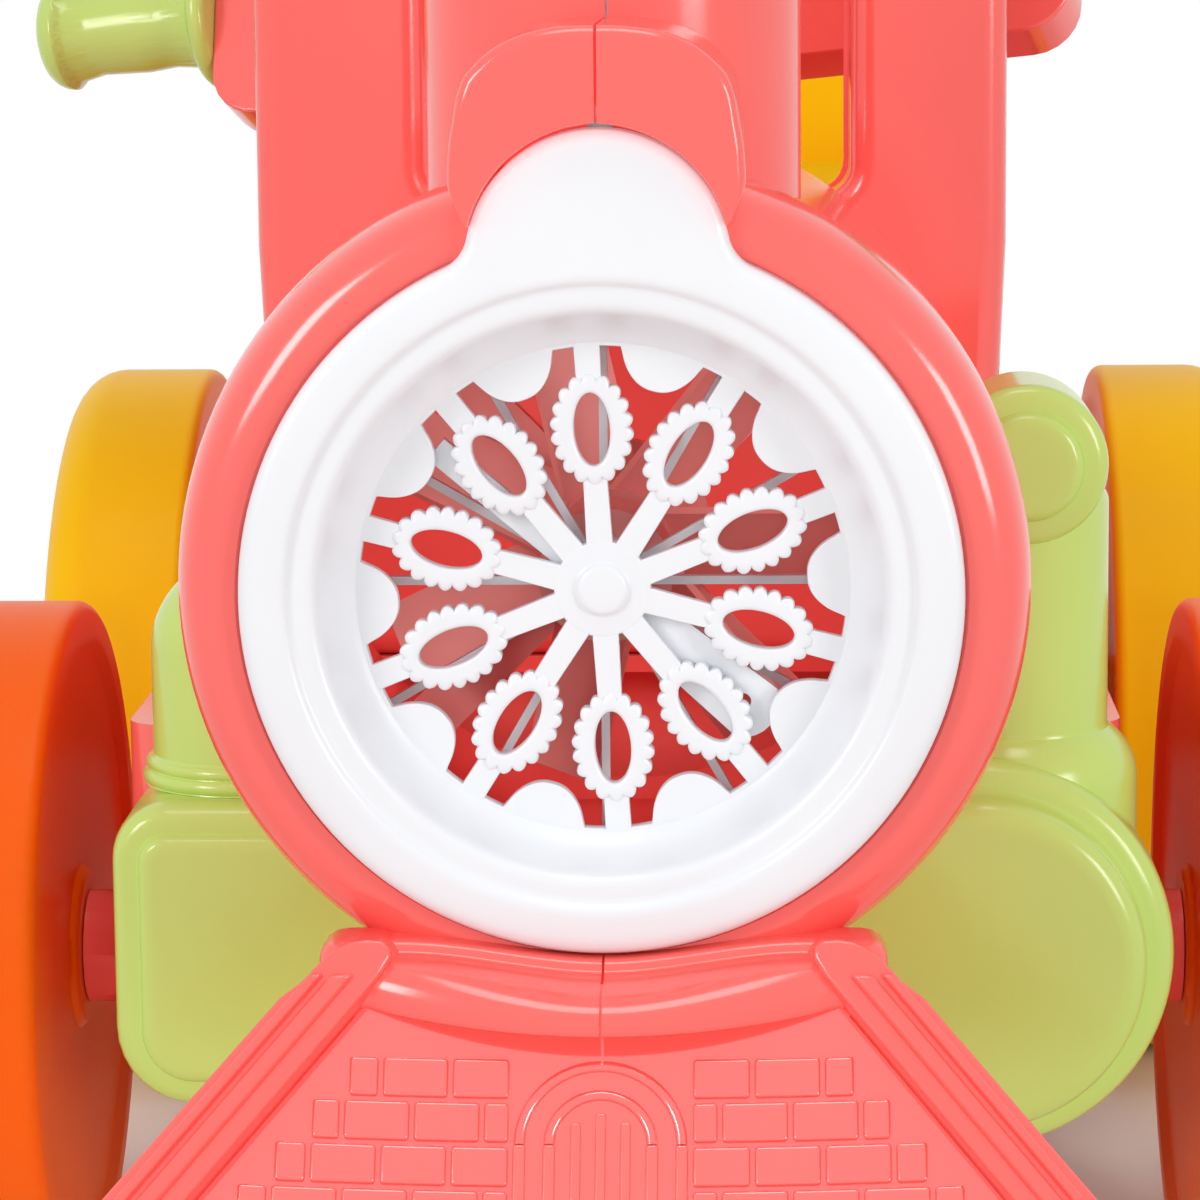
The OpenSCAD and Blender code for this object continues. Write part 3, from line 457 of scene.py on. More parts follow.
class MakeBubbleFront(bpy.types.Operator):
    """Models the white panel with its tongue, dish and stepped rim"""
    bl_idname = "train.make_bubble_front"
    bl_label = "Bubble front"

    def execute(self, context):
        bm = bmesh.new()
        # Inset from the outline and depth
        rim = [(0.0, 9.0), (0.0, 2.6), (0.12, 1.9), (0.4, 1.3), (0.85, 0.8), (1.5, 0.42),
               (2.4, 0.16), (3.6, 0.04), (5.0, 0.0), (RIM_WIDE, 0.0)]
        # Radius and depth, down the dish and back along its rear
        dish = [(60.6, 0.0), (59.6, 0.12), (58.9, 0.5), (58.4, 1.1), (57.9, 1.5), (57.0, 1.62),
                (55.4, 1.66), (54.5, 1.85), (53.7, 2.3), (53.0, 3.2), (52.5, 4.4), (52.0, 5.8),
                (51.4, 7.2), (50.7, 8.6), (49.9, 9.9), (49.0, 11.1), (48.1, 12.0), (47.3, 12.6),
                (46.8, 12.9), (46.7, 13.1), (51.9, 13.1), (52.9, 9.0), (54.6, 5.0), (60.4, 4.2),
                (60.5, 9.0)]
        rings = [facing(panel_outline(inset), depth) for inset, depth in rim]
        rings = rings + [facing(panel_circle(r), depth) for r, depth in dish]
        skin(bm, rings + rings[:1])
        place_piece(bm, "bubble_front", white(), "train", ["front_panel"], sharp=50.0)
        return {"FINISHED"}


def on_grille(p, q, depth):
    """Point of the wand grille, whose first wand stands a little off the vertical."""
    t = GRILLE_TURN
    return (p * math.cos(t) - q * math.sin(t), depth, AXIS + p * math.sin(t) + q * math.cos(t))


def slot_turns():
    """Angles around the slots, from the middle of a lobe."""
    return [math.radians(i * 0.5 + WAND_STEP / 2) for i in range(720)]


def lobed_circle(grow):
    """Outer edge of the slots: a circle with a round lobe between each two wands."""
    points = []
    for i, t in enumerate(slot_turns()):
        off = abs((i * 0.5 + WAND_STEP / 2) % WAND_STEP - WAND_STEP / 2)
        r = SLOT_R + grow
        if off < LOBE_HALF:
            # Round at its tip, steep at its sides
            r -= LOBE_DEEP * (1.0 - (off / LOBE_HALF) ** 2.3) ** 0.6
        points.append((r * math.sin(t), r * math.cos(t)))
    return points


def oval_turns():
    """Angles around a wand."""
    return [math.radians(2.0 * i) for i in range(180)]


def wand_outline(grow, tooth=TOOTH):
    """Oval of a wand with its rounded teeth, spread evenly along the oval."""
    points = []
    for even in oval_turns():
        # Closer steps along the long sides
        t = even - 0.088 * math.sin(2 * even)
        lift = tooth * abs(math.sin(even * TEETH / 2)) ** 0.7 + grow
        points.append(((WAND_WIDE + lift) * math.cos(t), WAND_AT + (WAND_TALL + lift) * math.sin(t)))
    return points


def wand_hole(grow):
    """Oval hole of a wand, with one point for each point of its outline."""
    return [((HOLE_WIDE + grow) * math.cos(t), WAND_AT + (HOLE_TALL + grow) * math.sin(t))
            for t in oval_turns()]


class MakeWands(bpy.types.Operator):
    """Models the grille of toothed wands on its spokes, and the wiper behind it"""
    bl_idname = "train.make_wands"
    bl_label = "Wands and wiper"

    def execute(self, context):
        bm = bmesh.new()
        self.wand(bm)
        bmesh.ops.spin(bm, geom=list(bm.verts) + list(bm.edges) + list(bm.faces), cent=(0, 0, AXIS),
                       axis=BACK, angle=math.radians(360.0 - WAND_STEP), steps=9, use_duplicate=True)
        self.plate(bm)
        hub = [(0.0, GRILLE_BACK), (9.2, GRILLE_BACK), (9.2, 13.2), (9.0, 12.9), (8.6, 12.75),
               (5.5, 12.7), (5.0, 12.4), (4.7, 11.9), (4.3, 11.6), (3.6, 11.45), (0.0, 11.4)]
        turned(bm, hub, (0, 0, AXIS), BACK, ACROSS, steps=48, closed=False)
        place_piece(bm, "wands", white(), "train", ["wand_grille"], sharp=35.0)
        small = context.scene.train_sizes.small_edge / MM
        wiper = copied("wiper_arm", small, 2)
        place_piece(wiper, "wiper", white(), "wiper", ["wiper_arm"], sharp=30.0)
        return {"FINISHED"}

    def wand(self, bm):
        """One toothed oval, rounded towards its front, with its spokes to the hub and to the plate."""
        steps = [(wand_outline(0.0), GRILLE_BACK), (wand_outline(0.0), GRILLE_FACE),
                 (wand_outline(-0.15, 1.0), 12.7), (wand_outline(-0.4, 0.8), 12.45),
                 (wand_outline(-0.6, 0.4), 12.28), (wand_outline(-0.9, 0.1), 12.2),
                 (wand_hole(0.9), 12.2), (wand_hole(0.35), 12.32), (wand_hole(0.08), 12.6),
                 (wand_hole(0.0), GRILLE_FACE), (wand_hole(0.0), GRILLE_BACK)]
        rings = [[on_grille(p, q, depth) for p, q in outline] for outline, depth in steps]
        skin(bm, rings + rings[:1])
        # Two radii and the half-widths there
        for inner, outer, near, far in ((2.0, 21.4, 2.6, 2.3), (39.6, 48.0, 2.4, 2.5)):
            spoke = [(-near, inner), (near, inner), (far, outer), (-far, outer)]
            slab(bm, [on_grille(p, q, 12.9) for p, q in spoke], (0, 2.6, 0), width=0.35, segments=2)

    def plate(self, bm):
        """Plate around the slots."""
        rim = [(GRILLE_R * math.sin(t), GRILLE_R * math.cos(t)) for t in slot_turns()]
        steps = [(rim, GRILLE_BACK), (rim, GRILLE_FACE), (lobed_circle(0.5), GRILLE_FACE),
                 (lobed_circle(0.15), 13.12), (lobed_circle(0.0), 13.5), (lobed_circle(0.0), GRILLE_BACK)]
        rings = [[on_grille(p, q, depth) for p, q in outline] for outline, depth in steps]
        skin(bm, rings + rings[:1])


# Boiler, hood, chimney and catcher

def on_slope(u, v, w):
    """Point on the catcher: across, down the slope, out of the slope."""
    return (u, SLOPE_DEPTH - v * math.sin(SLOPE) - w * math.cos(SLOPE),
            SLOPE_TOP - v * math.cos(SLOPE) + w * math.sin(SLOPE))


def off_slope(height):
    """Push out of the catcher's slope."""
    return Vector(on_slope(0, 0, height)) - Vector(on_slope(0, 0, 0))


def catcher_width(v):
    """Half-width of the catcher at a distance down its slope."""
    return CATCHER_HALF + CATCHER_FLARE * v / CATCHER_LONG


def apron_section(x):
    """Depth and height of the rounded apron below the white panel, cut at a distance from the seam."""
    # Towards its end the front curves back, the foot rises a little and the lip swings up to the ear
    end = min(x / 44.0, 1.0) ** 2
    front, foot = -17.0 + 9.0 * end, 110.4 + 3.2 * end
    rise = min(x / 38.0, 1.0)
    lip = 121.6 + 3.8 * rise * rise * (3.0 - 2.0 * rise)
    roll = [(10.0, foot + 1.0), (10.0, lip), (1.4, lip), (0.1, lip - 0.3), (-0.7, lip - 1.0),
            (-1.0, lip - 1.9), (-1.6, lip - 2.4), (-2.8, lip - 2.6)]
    bulge = []
    for step in range(1, 13):
        turn = math.radians(7.5 * step)
        bulge.append((-2.8 + (front + 2.8) * math.sin(turn) ** 1.1,
                      foot + 1.4 + (lip - 4.0 - foot) * abs(math.cos(turn)) ** 0.8))
    return roll + bulge + [(front + 0.2, foot + 0.6), (front + 0.9, foot + 0.1), (front + 2.0, foot)]


def hood_section(low, high):
    """Distance from the tongue's middle and depth around one cut of the hood, rounded at its front."""
    front, back = -3.0, 67.0
    # Roundings of the outer and the inner edge, smaller where the cut is narrow
    soft = min(2.6, 0.42 * (high - low))
    lip = min(0.8, 0.2 * (high - low))
    section = [(low, back), (low, lip + front), (low + 0.3 * lip, 0.3 * lip + front), (low + lip, front)]
    for bend in (0.0, 18.0, 36.0, 54.0, 72.0, 90.0):
        away = math.radians(bend)
        section.append((high - soft * (1.0 - math.sin(away)), soft * (1.0 - math.cos(away)) + front))
    return section + [(high, back)]


class MakeShell(bpy.types.Operator):
    """Models the two coral half-shells: ring, barrel, hood, chimney, ledge and catcher frame"""
    bl_idname = "train.make_shell"
    bl_label = "Half-shells"

    def execute(self, context):
        gap = context.scene.train_sizes.seam / MM / 2
        edge = context.scene.train_sizes.edge / MM
        for side, node, name in ((-1, "body_left", "shell_left"), (1, "body_right", "shell_right")):
            bm = bmesh.new()
            self.boiler(bm, side)
            self.chimney(bm, side)
            bmesh.ops.translate(bm, vec=(side * gap, 0.0, 0.0), verts=bm.verts)
            self.hood(bm, side, gap)
            self.ledge(bm, side, gap)
            self.rails(bm, side, gap, edge)
            thin_wall(place_piece(bm, name, coral(), "train", [node]))
        return {"FINISHED"}

    def boiler(self, bm, side):
        """Full rounded front ring and the barrel behind it."""
        # Power of a superellipse that is fuller than a quarter circle
        full = 2.0 / 2.8
        roll = []
        for turn in range(5, 91, 5):
            t = math.radians(turn)
            roll.append((68.0 + 13.0 * math.sin(t) ** full, 26.0 - 22.0 * abs(math.cos(t)) ** full))
        lip = [(67.9, 5.4), (68.4, 4.5)]
        barrel = [(81.0, 28.4), (80.7, 30.2), (80.0, 31.6), (79.0, 32.8), (78.3, 34.0), (78.0, 35.6),
                  (78.0, 205.0)]
        inside = [(74.5, 205.0), (74.5, 13.0), (60.0, 13.0), (60.0, 9.0), (67.9, 9.0)]
        turned(bm, lip + roll + barrel + inside, (0, 0, AXIS), BACK, UP, turn=side * 180.0, steps=64)

    def chimney(self, bm, side):
        """Stack with a rolled collar."""
        outside = [(38.0, 58.0), (38.0, 133.0), (38.2, 135.2), (38.8, 136.8), (39.8, 138.0),
                   (40.6, 139.4), (41.0, 141.4), (41.0, 146.6), (40.6, 148.4), (39.6, 149.6),
                   (38.2, 150.0), (33.2, 150.0), (32.4, 149.4)]
        turned(bm, outside + [(32.4, 58.0)], (0, 95, AXIS), UP, FRONT, turn=side * 180.0, steps=48)

    def hood(self, bm, side, gap):
        """Hood over the tongue: cuts that fan out around the tongue's middle, down to the leg's tip."""
        tip, top, steps = 16.4, 90.0, 32
        crown = [(23.7, 69.3), (25.0, 70.8), (26.0, 73.0), (27.1, 75.6), (27.4, 78.2), (27.2, 81.2),
                 (26.2, 88.6), (25.2, 94.1), (24.0, 96.9), (22.0, 99.1), (18.0, 102.4), (13.0, 104.6),
                 (7.0, 105.7), (0.0, 106.0)]
        reach = [(math.degrees(math.atan2(z - TONGUE, x)), math.hypot(x, z - TONGUE)) for x, z in crown]
        cuts = []
        for step in range(steps + 1):
            turn = top + (tip - top) * step / steps
            # Inner edge just outside the tongue, outer edge on the crown's outline
            low = 24.7 + 1.0 * (turn - tip) / (top - tip)
            high = low + 0.3
            for (a, p), (b, q) in zip(reach, reach[1:]):
                if a <= turn <= b:
                    high = max(high, p + (q - p) * (turn - a) / (b - a))
            aim = math.radians(turn)
            cuts.append([(side * max(gap, r * math.cos(aim)), depth, AXIS + TONGUE + r * math.sin(aim))
                         for r, depth in hood_section(low, high)])
        skin(bm, cuts, first=True, last=True)

    def ledge(self, bm, side, gap):
        """Apron below the white panel, the ear at its end, and the boxes behind it."""
        cuts = [gap] + [2.0 * i for i in range(1, 24)]
        sections = [[(side * x, depth, z) for depth, z in apron_section(x)] for x in cuts]
        skin(bm, sections, first=True, last=True)
        ear = [(side * x, depth, 111.0) for x, depth in rounded(38.0, -6.0, 53.5, 12.0, 6.0, 6.0)]
        slab(bm, ear, (0, 0, 14.8), width=4.0, segments=4)
        # Half-width, depths, heights and rounding
        for wide, near, far, foot, top, soft in ((44, 5, 22, 96, 124.6, 1.0), (29, 5, 120, 66, 128, 1.6)):
            ends = sorted((side * gap, side * wide))
            block(bm, (ends[0], near, foot), (ends[1], far, top), soft)

    def rails(self, bm, side, gap, edge):
        """Frame of the catcher: the rounded rail with its two ridges, the upper bar and a web behind."""
        foot, bend = 73.0, 14.0
        top = [(41.6, 8.4), (39.4, 4.6), (39.4, 2.4), (41.0, 1.0), (44.0, 0.8), (46.8, 1.2),
               (49.2, 2.2), (51.2, 3.8), (53.4, 6.2), (55.8, 9.0), (60.0, 12.4)]
        corners = [(gap, foot), (catcher_width(foot) - RAIL_WIDE, foot),
                   (catcher_width(bend) - RAIL_WIDE, bend)] + top
        corners = corners + [(catcher_width(CATCHER_LONG), CATCHER_LONG), (gap, CATCHER_LONG)]
        out = off_slope(11.0)
        slab(bm, [on_slope(side * u, v, 0.0) for u, v in corners], out, width=edge * 1.2, segments=4,
             keep=lambda p: abs(p.x) < gap + 0.01)
        bar = [(gap, 8.0), (50.0, 8.0), (50.0, 14.2), (gap, 14.2)]
        slab(bm, [on_slope(side * u, v, 0.0) for u, v in bar], out * 0.45)
        start, end = 8.0, 81.0
        for near, wide in ((11.6, 4.6), (5.8, 2.8)):
            ridge = [(catcher_width(start) - near, start), (catcher_width(start) - near + wide, start),
                     (catcher_width(end) - near + wide, end), (catcher_width(end) - near, end)]
            slab(bm, [on_slope(side * u, v, 8.0) for u, v in ridge], out * 0.43, width=1.35, segments=4)
        web = [(6.0, 112.0), (6.0, 66.0), (-31.0, 66.0), (-4.0, 112.0)]
        slab(bm, [(side * 20.0, depth, z) for depth, z in web], (side * 9.0, 0, 0), width=1.0)


class MakeCatcherPanel(bpy.types.Operator):
    """Models the glossy catcher panel: curved brick courses on either side of a small arch"""
    bl_idname = "train.make_catcher_panel"
    bl_label = "Catcher panel"

    def execute(self, context):
        courses = context.scene.train_sizes.courses
        # Down the slope: first course, foot and upper edge of the sheet; then its inset from the frame
        top, foot, upper, inset = 18.2, 72.6, 8.2, 16.4
        bm = bmesh.new()
        out = off_slope(1)
        plate = [(-catcher_width(upper) + inset, upper), (catcher_width(upper) - inset, upper),
                 (catcher_width(foot) - inset, foot), (-catcher_width(foot) + inset, foot)]
        slab(bm, [on_slope(u, v, 2.0) for u, v in plate], out * 3.6)
        pitch = (foot - top - 4.0) / courses
        for row in range(courses):
            mid = top + 1.0 + (row + 0.5) * pitch
            half = catcher_width(mid - pitch / 2) - 19.0
            self.course(bm, mid, pitch * 0.45, half, row % 2, out)
        self.arch(bm, top, foot, out)
        sheet = place_piece(bm, "catcher_relief", coral_gloss(), "train", ["catcher_panel"],
                            sharp=42.0)
        thin_wall(sheet)
        return {"FINISHED"}

    def course(self, bm, mid, half_high, half_wide, shift, out):
        """One course of bricks on either side of the arch, hanging a little lower towards the middle."""
        joint, brick, lowest = 0.4, 13.0, 71.6
        for side in (-1, 1):
            # From beside the arch outwards, with a shorter first brick in every second course
            u = 16.6
            end = 28.0 - 6.0 * shift
            while u < half_wide - 3.0:
                end = min(end, half_wide)
                sag = [3.4 * (1.0 - (at / 100.0) ** 2) for at in (u, end)]
                corners = [(u + joint, mid - half_high + sag[0]), (end - joint, mid - half_high + sag[1]),
                           (end - joint, mid + half_high + sag[1]), (u + joint, mid + half_high + sag[0])]
                slab(bm, [on_slope(side * a, min(b, lowest), 5.0) for a, b in corners], out * 1.5,
                     width=0.8, segments=4)
                u, end = end, end + brick

    def arch(self, bm, top, foot, out):
        """Two round bands on straight legs, and three bars between them."""
        spring, end, band = top + 21.0, foot - 1.2, 1.2
        for r in (15.0, 9.5):
            turns = [math.radians(a) for a in range(0, 360, 30)]
            profile = [(r + band * math.cos(t), 1.3 * math.sin(t)) for t in turns]
            turned(bm, profile, on_slope(0, spring, 5.1), out, ACROSS, turn=180.0, steps=24)
            for side in (-1, 1):
                leg = [(side * r - band, spring), (side * r + band, spring),
                       (side * r + band, end), (side * r - band, end)]
                slab(bm, [on_slope(u, v, 4.6) for u, v in leg], out * 1.7, width=0.6)
        for u in (-4.6, 0.0, 4.6):
            rise = top + 15.0 + abs(u) * 0.4
            bar = [(u - 1.0, rise), (u + 1.0, rise), (u + 1.0, end), (u - 1.0, end)]
            slab(bm, [on_slope(a, b, 4.6) for a, b in bar], out * 1.6, width=0.5)


# Green cylinders and steam pipes

class MakeSteam(bpy.types.Operator):
    """Models the square left cylinder, the round right one and their steam pipes"""
    bl_idname = "train.make_steam"
    bl_label = "Cylinders and steam pipes"

    def execute(self, context):
        makers = (("cylinder_square", "left_cylinder", self.square_cylinder),
                  ("cylinder_round", "right_cylinder", self.round_cylinder),
                  ("steam_pipe_left", "left_steam_pipe", self.left_pipe),
                  ("steam_pipe_right", "right_steam_pipe", self.right_pipe))
        for name, node, make in makers:
            bm = bmesh.new()
            make(bm)
            thin_wall(place_piece(bm, name, green(), "train", [node]))
        return {"FINISHED"}

    def square_cylinder(self, bm):
        """Block with round corners and a raised face, from insets and depths."""
        steps = [(0.0, CHASSIS_FACE), (0.0, 91.0), (0.3, 88.4), (1.0, 86.6), (2.1, 85.5), (3.4, 85.1),
                 (5.4, 85.0), (6.0, 84.8), (6.3, 84.2), (6.5, 83.4), (7.0, 82.6), (7.9, 82.15),
                 (9.5, 82.0)]
        left, right, foot, top = -106, -44, 68.5, 133.5
        rings = []
        for inset, depth in steps:
            low_r, high_r = max(17 - inset, 4), max(12 - inset, 3)
            outline = rounded(left + inset, foot + inset, right - inset, top - inset, low_r, high_r)
            rings.append(facing(outline, depth))
        skin(bm, rings, first=True, last=True)

    def round_cylinder(self, bm):
        """Drum with a raised round face."""
        drum = [(0.0, CHASSIS_FACE), (35.5, CHASSIS_FACE), (35.5, 102.5), (41.6, 102.5), (41.6, 90.5),
                (41.2, 88.0), (40.2, 86.3), (38.8, 85.3), (37.4, 85.0), (36.2, 84.7), (35.5, 83.8),
                (35.1, 82.2), (35.0, 79.6), (34.6, 77.6), (33.5, 76.1), (31.8, 75.3), (29.6, 75.0),
                (0.0, 75.0)]
        turned(bm, drum, (74, 0, 101), BACK, ACROSS, steps=96, closed=False)

    def left_pipe(self, bm):
        """Domed pipe on a collar of two rolls."""
        collar = [(0.0, 133.6), (21.8, 133.6)]
        collar = collar + arc(20.6, 135.2, 1.7, -50, 70, 8) + arc(20.2, 138.1, 1.4, -50, 80, 8)
        dome = arc(0, 162, 20, 0, 90, 20)
        turned(bm, collar + [(20.0, 140.0)] + dome, (-80, 114, 0), UP, FRONT, closed=False)
        self.flat_back(bm)

    def right_pipe(self, bm):
        """Taller pipe on a bulging foot, with a round boss at its top."""
        bulge = [(0.0, 121.0), (26.5, 121.0)] + arc(13.5, 134.3, 13, 0, 58, 12) + [(20.1, 146.6)]
        top = arc(16, 193, 4, 0, 90, 8) + [(0.0, 197.0)]
        turned(bm, bulge + top, (83, 114, 0), UP, FRONT, closed=False)
        boss = [(0.0, CHASSIS_FACE), (16.6, CHASSIS_FACE), (16.6, 94.2), (16.3, 92.8), (15.4, 91.8),
                (14.1, 91.2), (12.4, 91.0), (11.5, 90.8), (11.2, 90.2), (10.9, 89.2), (10.2, 88.4),
                (9.2, 88.1), (7.6, 88.0), (0.0, 88.0)]
        turned(bm, boss, (84.8, 0, 203), BACK, ACROSS, closed=False)
        self.flat_back(bm)

    def flat_back(self, bm):
        """Cuts the pipes flat where they stand against the chassis."""
        bmesh.ops.remove_doubles(bm, verts=bm.verts, dist=MERGE)
        geom = list(bm.verts) + list(bm.edges) + list(bm.faces)
        cut = bmesh.ops.bisect_plane(bm, geom=geom, dist=MERGE / 2, plane_co=(0, CHASSIS_FACE, 0),
                                     plane_no=BACK, clear_outer=True)["geom_cut"]
        edges = [g for g in cut if isinstance(g, bmesh.types.BMEdge) and len(g.link_faces) == 1]
        bmesh.ops.holes_fill(bm, edges=edges, sides=0)


# Cab, chassis and wheels

def gate_outline(low_half, high_half, foot, bend, top, low_r, high_r):
    """Upright outline, even on both sides, with rounded corners and a bend half way up."""
    right = arc(low_half - low_r, foot + low_r, low_r, -90, 0, 8) + [(high_half, bend)]
    right = right + arc(high_half - high_r, top - high_r, high_r, 0, 90, 12)
    return right + [(-x, z) for x, z in reversed(right)]


def cab_outline(inset):
    """Front view of the cab, smaller by an inset."""
    low_half, high_half, foot, bend, top = 82.5 - inset, 86.5 - inset, 144.0 + inset, 240.0, 378.0 - inset
    return gate_outline(low_half, high_half, foot, bend, top, 4.0, 30.0 - inset)


def window_outline(outset):
    """Window of the cab, a little right of the middle, larger by an outset."""
    half, foot, bend, top = 48.5 + outset, 251.0 - outset, 294.0, 334.0 + outset
    corner, shift = 7.0 + outset, 2.0
    outline = gate_outline(half, half, foot, bend, top, corner, corner)
    return [(x + shift, z) for x, z in outline]


class MakeCab(bpy.types.Operator):
    """Models the cab front with its rounded window, and the dash behind it"""
    bl_idname = "train.make_cab"
    bl_label = "Cab front"

    def execute(self, context):
        bm = bmesh.new()
        back = 231.0
        curve = [(0.0, 211.0), (0.5, 208.6), (1.8, 206.6), (3.8, 205.4), (6.0, 205.0)]
        outside = [facing(cab_outline(0.0), back)]
        outside = outside + [facing(cab_outline(inset), depth) for inset, depth in curve]
        inside = [facing(window_outline(outset), depth) for outset, depth in reversed(curve)]
        inside = inside + [facing(window_outline(0.0), back)]
        skin(bm, outside + inside + outside[:1])
        place_piece(bm, "cab_wall", coral(), "train", ["cab_front"])
        edge = context.scene.train_sizes.edge / MM
        dash = copied("dash_panel", edge * 0.4, 2, shortest=3.0)
        place_piece(dash, "cab_dash", coral(), "train", ["dash_panel"])
        return {"FINISHED"}


class MakeChassis(bpy.types.Operator):
    """Models the chassis, seat box, seat lid and backrest with rounded edges"""
    bl_idname = "train.make_chassis"
    bl_label = "Chassis and seat"

    def execute(self, context):
        edge = context.scene.train_sizes.edge / MM
        deck = copied("chassis", edge * 0.6, 3, shortest=9.0)
        place_piece(deck, "deck", coral(), "train", ["chassis"])
        box = copied("seat_base", edge * 0.5, 3, shortest=9.0)
        place_piece(box, "seat_box", coral(), "train", ["seat_base"])
        lid = copied("seat_lid", edge * 0.6, 3, shortest=9.0)
        place_piece(lid, "seat_cover", yellow(), "seat", ["seat_lid"])
        back = copied("backrest", edge * 1.6, 4)
        place_piece(back, "seat_back", yellow(), "train", ["backrest"])
        return {"FINISHED"}


class MakeWheels(bpy.types.Operator):
    """Models the four wheels and their hub caps with softened edges"""
    bl_idname = "train.make_wheels"
    bl_label = "Wheels"

    def execute(self, context):
        small = context.scene.train_sizes.small_edge / MM
        ends = (("front", orange, "orange", yellow, "yellow"),
                ("rear", yellow, "yellow", orange, "orange"))
        for end, tyre, tyre_slot, cap, cap_slot in ends:
            for side in ("left", "right"):
                body = "wheel_%s_%s" % (end, side)
                wheel = "%s_wheel_%s" % (end, side)
                hub = "%s_cap_%s" % (end, side)
                rim = copied(wheel, small, 2, angle=50.0)
                place_piece(rim, body + "_tyre", tyre(), body, [wheel], sharp=30.0)
                cover = copied(hub, small, 2, angle=50.0)
                place_piece(cover, body + "_hub", cap(), body, [hub], sharp=30.0)
        return {"FINISHED"}


class MakeHandlebar(bpy.types.Operator):
    """Models the handlebar, its bush and grips, the bubble button and the chimney cap"""
    bl_idname = "train.make_handlebar"
    bl_label = "Handlebar and controls"

    def execute(self, context):
        edge = context.scene.train_sizes.edge / MM
        place_piece(copied("handlebar", edge, 4), "bar", coral(), "bar", ["handlebar"])
        bush = copied("steering_bush", edge * 0.4, 2)
        place_piece(bush, "bush", coral(), "train", ["steering_bush"])
        for side in ("left", "right"):
            node = side + "_grip"
            grip = copied(node, edge * 0.3, 2)
            place_piece(grip, "grip_" + side, green(), "bar", [node])
        button = copied("bubble_button", edge * 0.3, 2, angle=40.0)
        place_piece(button, "button_cap", yellow(), "button", ["bubble_button"])
        cap = copied("chimney_cap", edge * 0.4, 3, angle=30.0)
        place_piece(cap, "tank_cap", green(), "cap", ["chimney_cap"])
        return {"FINISHED"}


class MakeWorks(bpy.types.Operator):
    """Gives the motors, fan, tank, axles, fasteners and battery parts their materials"""
    bl_idname = "train.make_works"
    bl_label = "Motors, tank and fasteners"

    def execute(self, context):
        for node in ("wiper_shaft", "fan_shaft", "fan_motor", "front_axle", "rear_axle", "axle_nuts",
                     "hinge_pins", "cylinder_screws", "dash_screws", "door_screw"):
            dress(node, steel())
        for node in ("bubble_switch", "battery_case", "battery_door"):
            dress(node, dark())
        # The works inside the boiler get coral painted paler: painted light over their shade
        for node in ("fan_impeller", "motor_bulkhead", "wiper_gearmotor"):
            dress(node, coral_painted_light())
        dress("air_guard", white())
        for node in ("solution_tank", "feed_tube"):
            dress(node, clear())
        dress("battery_cells", cells())
        return {"FINISHED"}


# Floor, light and camera, in metres

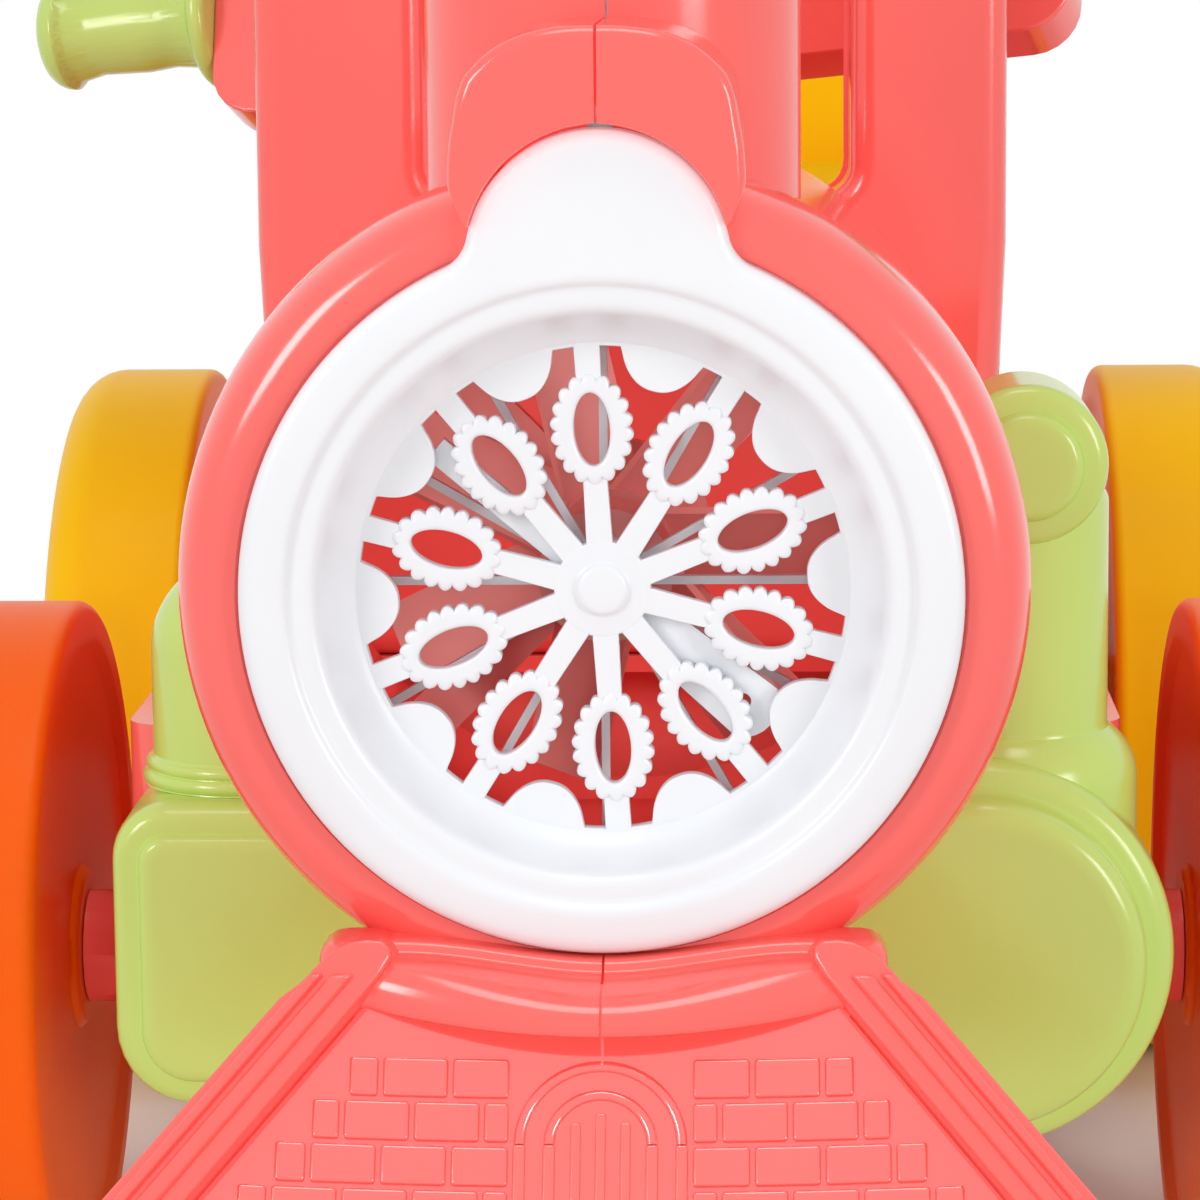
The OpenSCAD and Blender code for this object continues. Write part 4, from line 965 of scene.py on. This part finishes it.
class MakeStudio(bpy.types.Operator):
    """Sets the floor, the soft lamps, the world and the camera"""
    bl_idname = "train.make_studio"
    bl_label = "Studio"

    def execute(self, context):
        scene = context.scene
        self.floor(scene)
        self.lamps(scene)
        self.world(scene)
        scene.view_settings.view_transform = "Standard"
        self.camera(scene)
        return {"FINISHED"}

    def floor(self, scene):
        """Wide level floor below the wheels."""
        bm = bmesh.new()
        bmesh.ops.create_grid(bm, x_segments=1, y_segments=1, size=8.0)
        mesh = bpy.data.meshes.new("studio_floor")
        bm.to_mesh(mesh)
        bm.free()
        mesh.materials.append(self.sweep(scene.train_colours.floor))
        floor = bpy.data.objects.new("studio_floor", mesh)
        scene.collection.objects.link(floor)

    def lamps(self, scene):
        """Four soft lamps, all turned to the front of the train."""
        front = Vector((0.0, -0.15, 0.2))
        # Name, place, width, height and power
        lamps = (("lamp_key", (-1.33, -1.48, 0.98), 0.58, 0.74, 13.5),
                 ("lamp_fill", (1.4, -1.3, 0.6), 0.48, 0.66, 9.5),
                 ("lamp_front", (0.124, -4.4, 0.847), 0.3, 0.3, 12.0),
                 ("lamp_top", (0.0, -0.55, 1.85), 0.7, 0.7, 5.5))
        for name, spot, wide, high, power in lamps:
            light = bpy.data.lights.new(name, "AREA")
            light.shape = "RECTANGLE"
            light.size = wide
            light.size_y = high
            light.energy = power
            lamp = bpy.data.objects.new(name, light)
            lamp.location = spot
            aim = front - Vector(spot)
            lamp.rotation_euler = aim.to_track_quat("-Z", "Y").to_euler()
            # The front lamp only fills the shade and draws no highlight
            lamp.visible_glossy = name != "lamp_front"
            scene.collection.objects.link(lamp)

    def world(self, scene):
        """Plain white background that lights the train with about half of its strength."""
        strength = 0.47
        world = bpy.data.worlds.new("Studio white")
        scene.world = world
        world.use_nodes = True
        tree = world.node_tree
        tree.nodes.clear()
        lit = add_node(tree, "ShaderNodeMapRange", {"To Min": strength, "To Max": 1.0},
                       {"Value": self.seen(tree)})
        sky = add_node(tree, "ShaderNodeBackground", {"Color": linear("#FFFFFF")},
                       {"Strength": lit.outputs["Result"]})
        add_node(tree, "ShaderNodeOutputWorld", None, {"Surface": sky.outputs["Background"]})

    def camera(self, scene):
        """Camera in front of the white panel, a little above and right of its middle."""
        right, away, above, roll = 0.03, 0.8, 0.127, math.radians(-0.5)
        eye = bpy.data.cameras.new("photo_camera")
        eye.lens = scene.train_sizes.lens
        eye.sensor_width = 36.0
        camera = bpy.data.objects.new("photo_camera", eye)
        spot = Vector((right, RIM_Y - away, AXIS * MM + above))
        aim = Vector((0.0, RIM_Y, AXIS * MM)) - spot
        turn = aim.to_track_quat("-Z", "Y").to_matrix().to_4x4()
        camera.matrix_world = Matrix.Translation(spot) @ turn @ Matrix.Rotation(roll, 4, "Z")
        scene.collection.objects.link(camera)
        scene.camera = camera

    def seen(self, tree):
        """One for rays that show the background: from the camera, by a reflection or through plastic."""
        path = add_node(tree, "ShaderNodeLightPath")
        first = add_node(tree, "ShaderNodeMath", {"operation": "MAXIMUM"},
                         {0: path.outputs["Is Camera Ray"], 1: path.outputs["Is Glossy Ray"]})
        both = add_node(tree, "ShaderNodeMath", {"operation": "MAXIMUM"},
                        {0: first.outputs[0], 1: path.outputs["Is Transmission Ray"]})
        return both.outputs[0]

    def sweep(self, tint):
        """Paper sweep: matt near the train, where it takes its shadow, and plain white farther out. Its
        fibres are drawn 2 mm wide so that they show."""
        fibre_size, near, far = 0.002, 0.3, 0.7
        material = bpy.data.materials.new("Paper, matt studio sweep")
        material.use_nodes = True
        tree = material.node_tree
        tree.nodes.clear()
        place = add_node(tree, "ShaderNodeTexCoord").outputs["Object"]
        fibres = add_node(tree, "ShaderNodeTexNoise", {"Scale": 1.0 / fibre_size, "Detail": 2.0},
                          {"Vector": place})
        bump = add_node(tree, "ShaderNodeBump", {"Strength": 0.1, "Distance": 0.0001},
                        {"Height": fibres.outputs["Fac"]})
        paper = add_node(tree, "ShaderNodeBsdfPrincipled", {"Base Color": tuple(tint), "Roughness": 0.9},
                         {"Normal": bump.outputs["Normal"]})
        reach = add_node(tree, "ShaderNodeVectorMath", {"operation": "LENGTH"}, {0: place})
        fade = add_node(tree, "ShaderNodeMapRange",
                        {"interpolation_type": "SMOOTHSTEP", "From Min": near, "From Max": far},
                        {"Value": reach.outputs["Value"]})
        shown = add_node(tree, "ShaderNodeMath", {"operation": "MULTIPLY"},
                         {0: fade.outputs["Result"], 1: self.seen(tree)})
        white_out = add_node(tree, "ShaderNodeEmission", {"Color": linear("#FFFFFF"), "Strength": 1.0})
        mix = add_node(tree, "ShaderNodeMixShader", None,
                       {0: shown.outputs[0], 1: paper.outputs["BSDF"], 2: white_out.outputs["Emission"]})
        add_node(tree, "ShaderNodeOutputMaterial", None, {"Surface": mix.outputs["Shader"]})
        return material


class TRAIN_PT_makers(bpy.types.Panel):
    """Lists the makers of the train's pieces"""
    bl_idname = "TRAIN_PT_makers"
    bl_label = "Bubble train"
    bl_space_type = "VIEW_3D"
    bl_region_type = "UI"
    bl_category = "Bubble train"

    def draw(self, context):
        for maker in MAKERS:
            self.layout.operator(maker.bl_idname)
        for group in (context.scene.train_sizes, context.scene.train_colours):
            for key in group.bl_rna.properties.keys():
                if key not in ("rna_type", "name"):
                    self.layout.prop(group, key)


MAKERS = (MakeBubbleFront, MakeWands, MakeShell, MakeCatcherPanel, MakeSteam, MakeCab, MakeChassis,
          MakeWheels, MakeHandlebar, MakeWorks, MakeStudio)
CLASSES = (TrainColours, TrainSizes) + MAKERS + (TRAIN_PT_makers,)


def register():
    for item in CLASSES:
        bpy.utils.register_class(item)
    bpy.types.Scene.train_colours = bpy.props.PointerProperty(type=TrainColours)
    bpy.types.Scene.train_sizes = bpy.props.PointerProperty(type=TrainSizes)


def unregister():
    del bpy.types.Scene.train_sizes
    del bpy.types.Scene.train_colours
    for item in reversed(CLASSES):
        bpy.utils.unregister_class(item)


def main():
    register()
    bpy.ops.train.make_bubble_front()
    bpy.ops.train.make_wands()
    bpy.ops.train.make_shell()
    bpy.ops.train.make_catcher_panel()
    bpy.ops.train.make_steam()
    bpy.ops.train.make_cab()
    bpy.ops.train.make_chassis()
    bpy.ops.train.make_wheels()
    bpy.ops.train.make_handlebar()
    bpy.ops.train.make_works()
    bpy.ops.train.make_studio()
    bpy.context.view_layer.update()


if __name__ == "__main__":
    main()
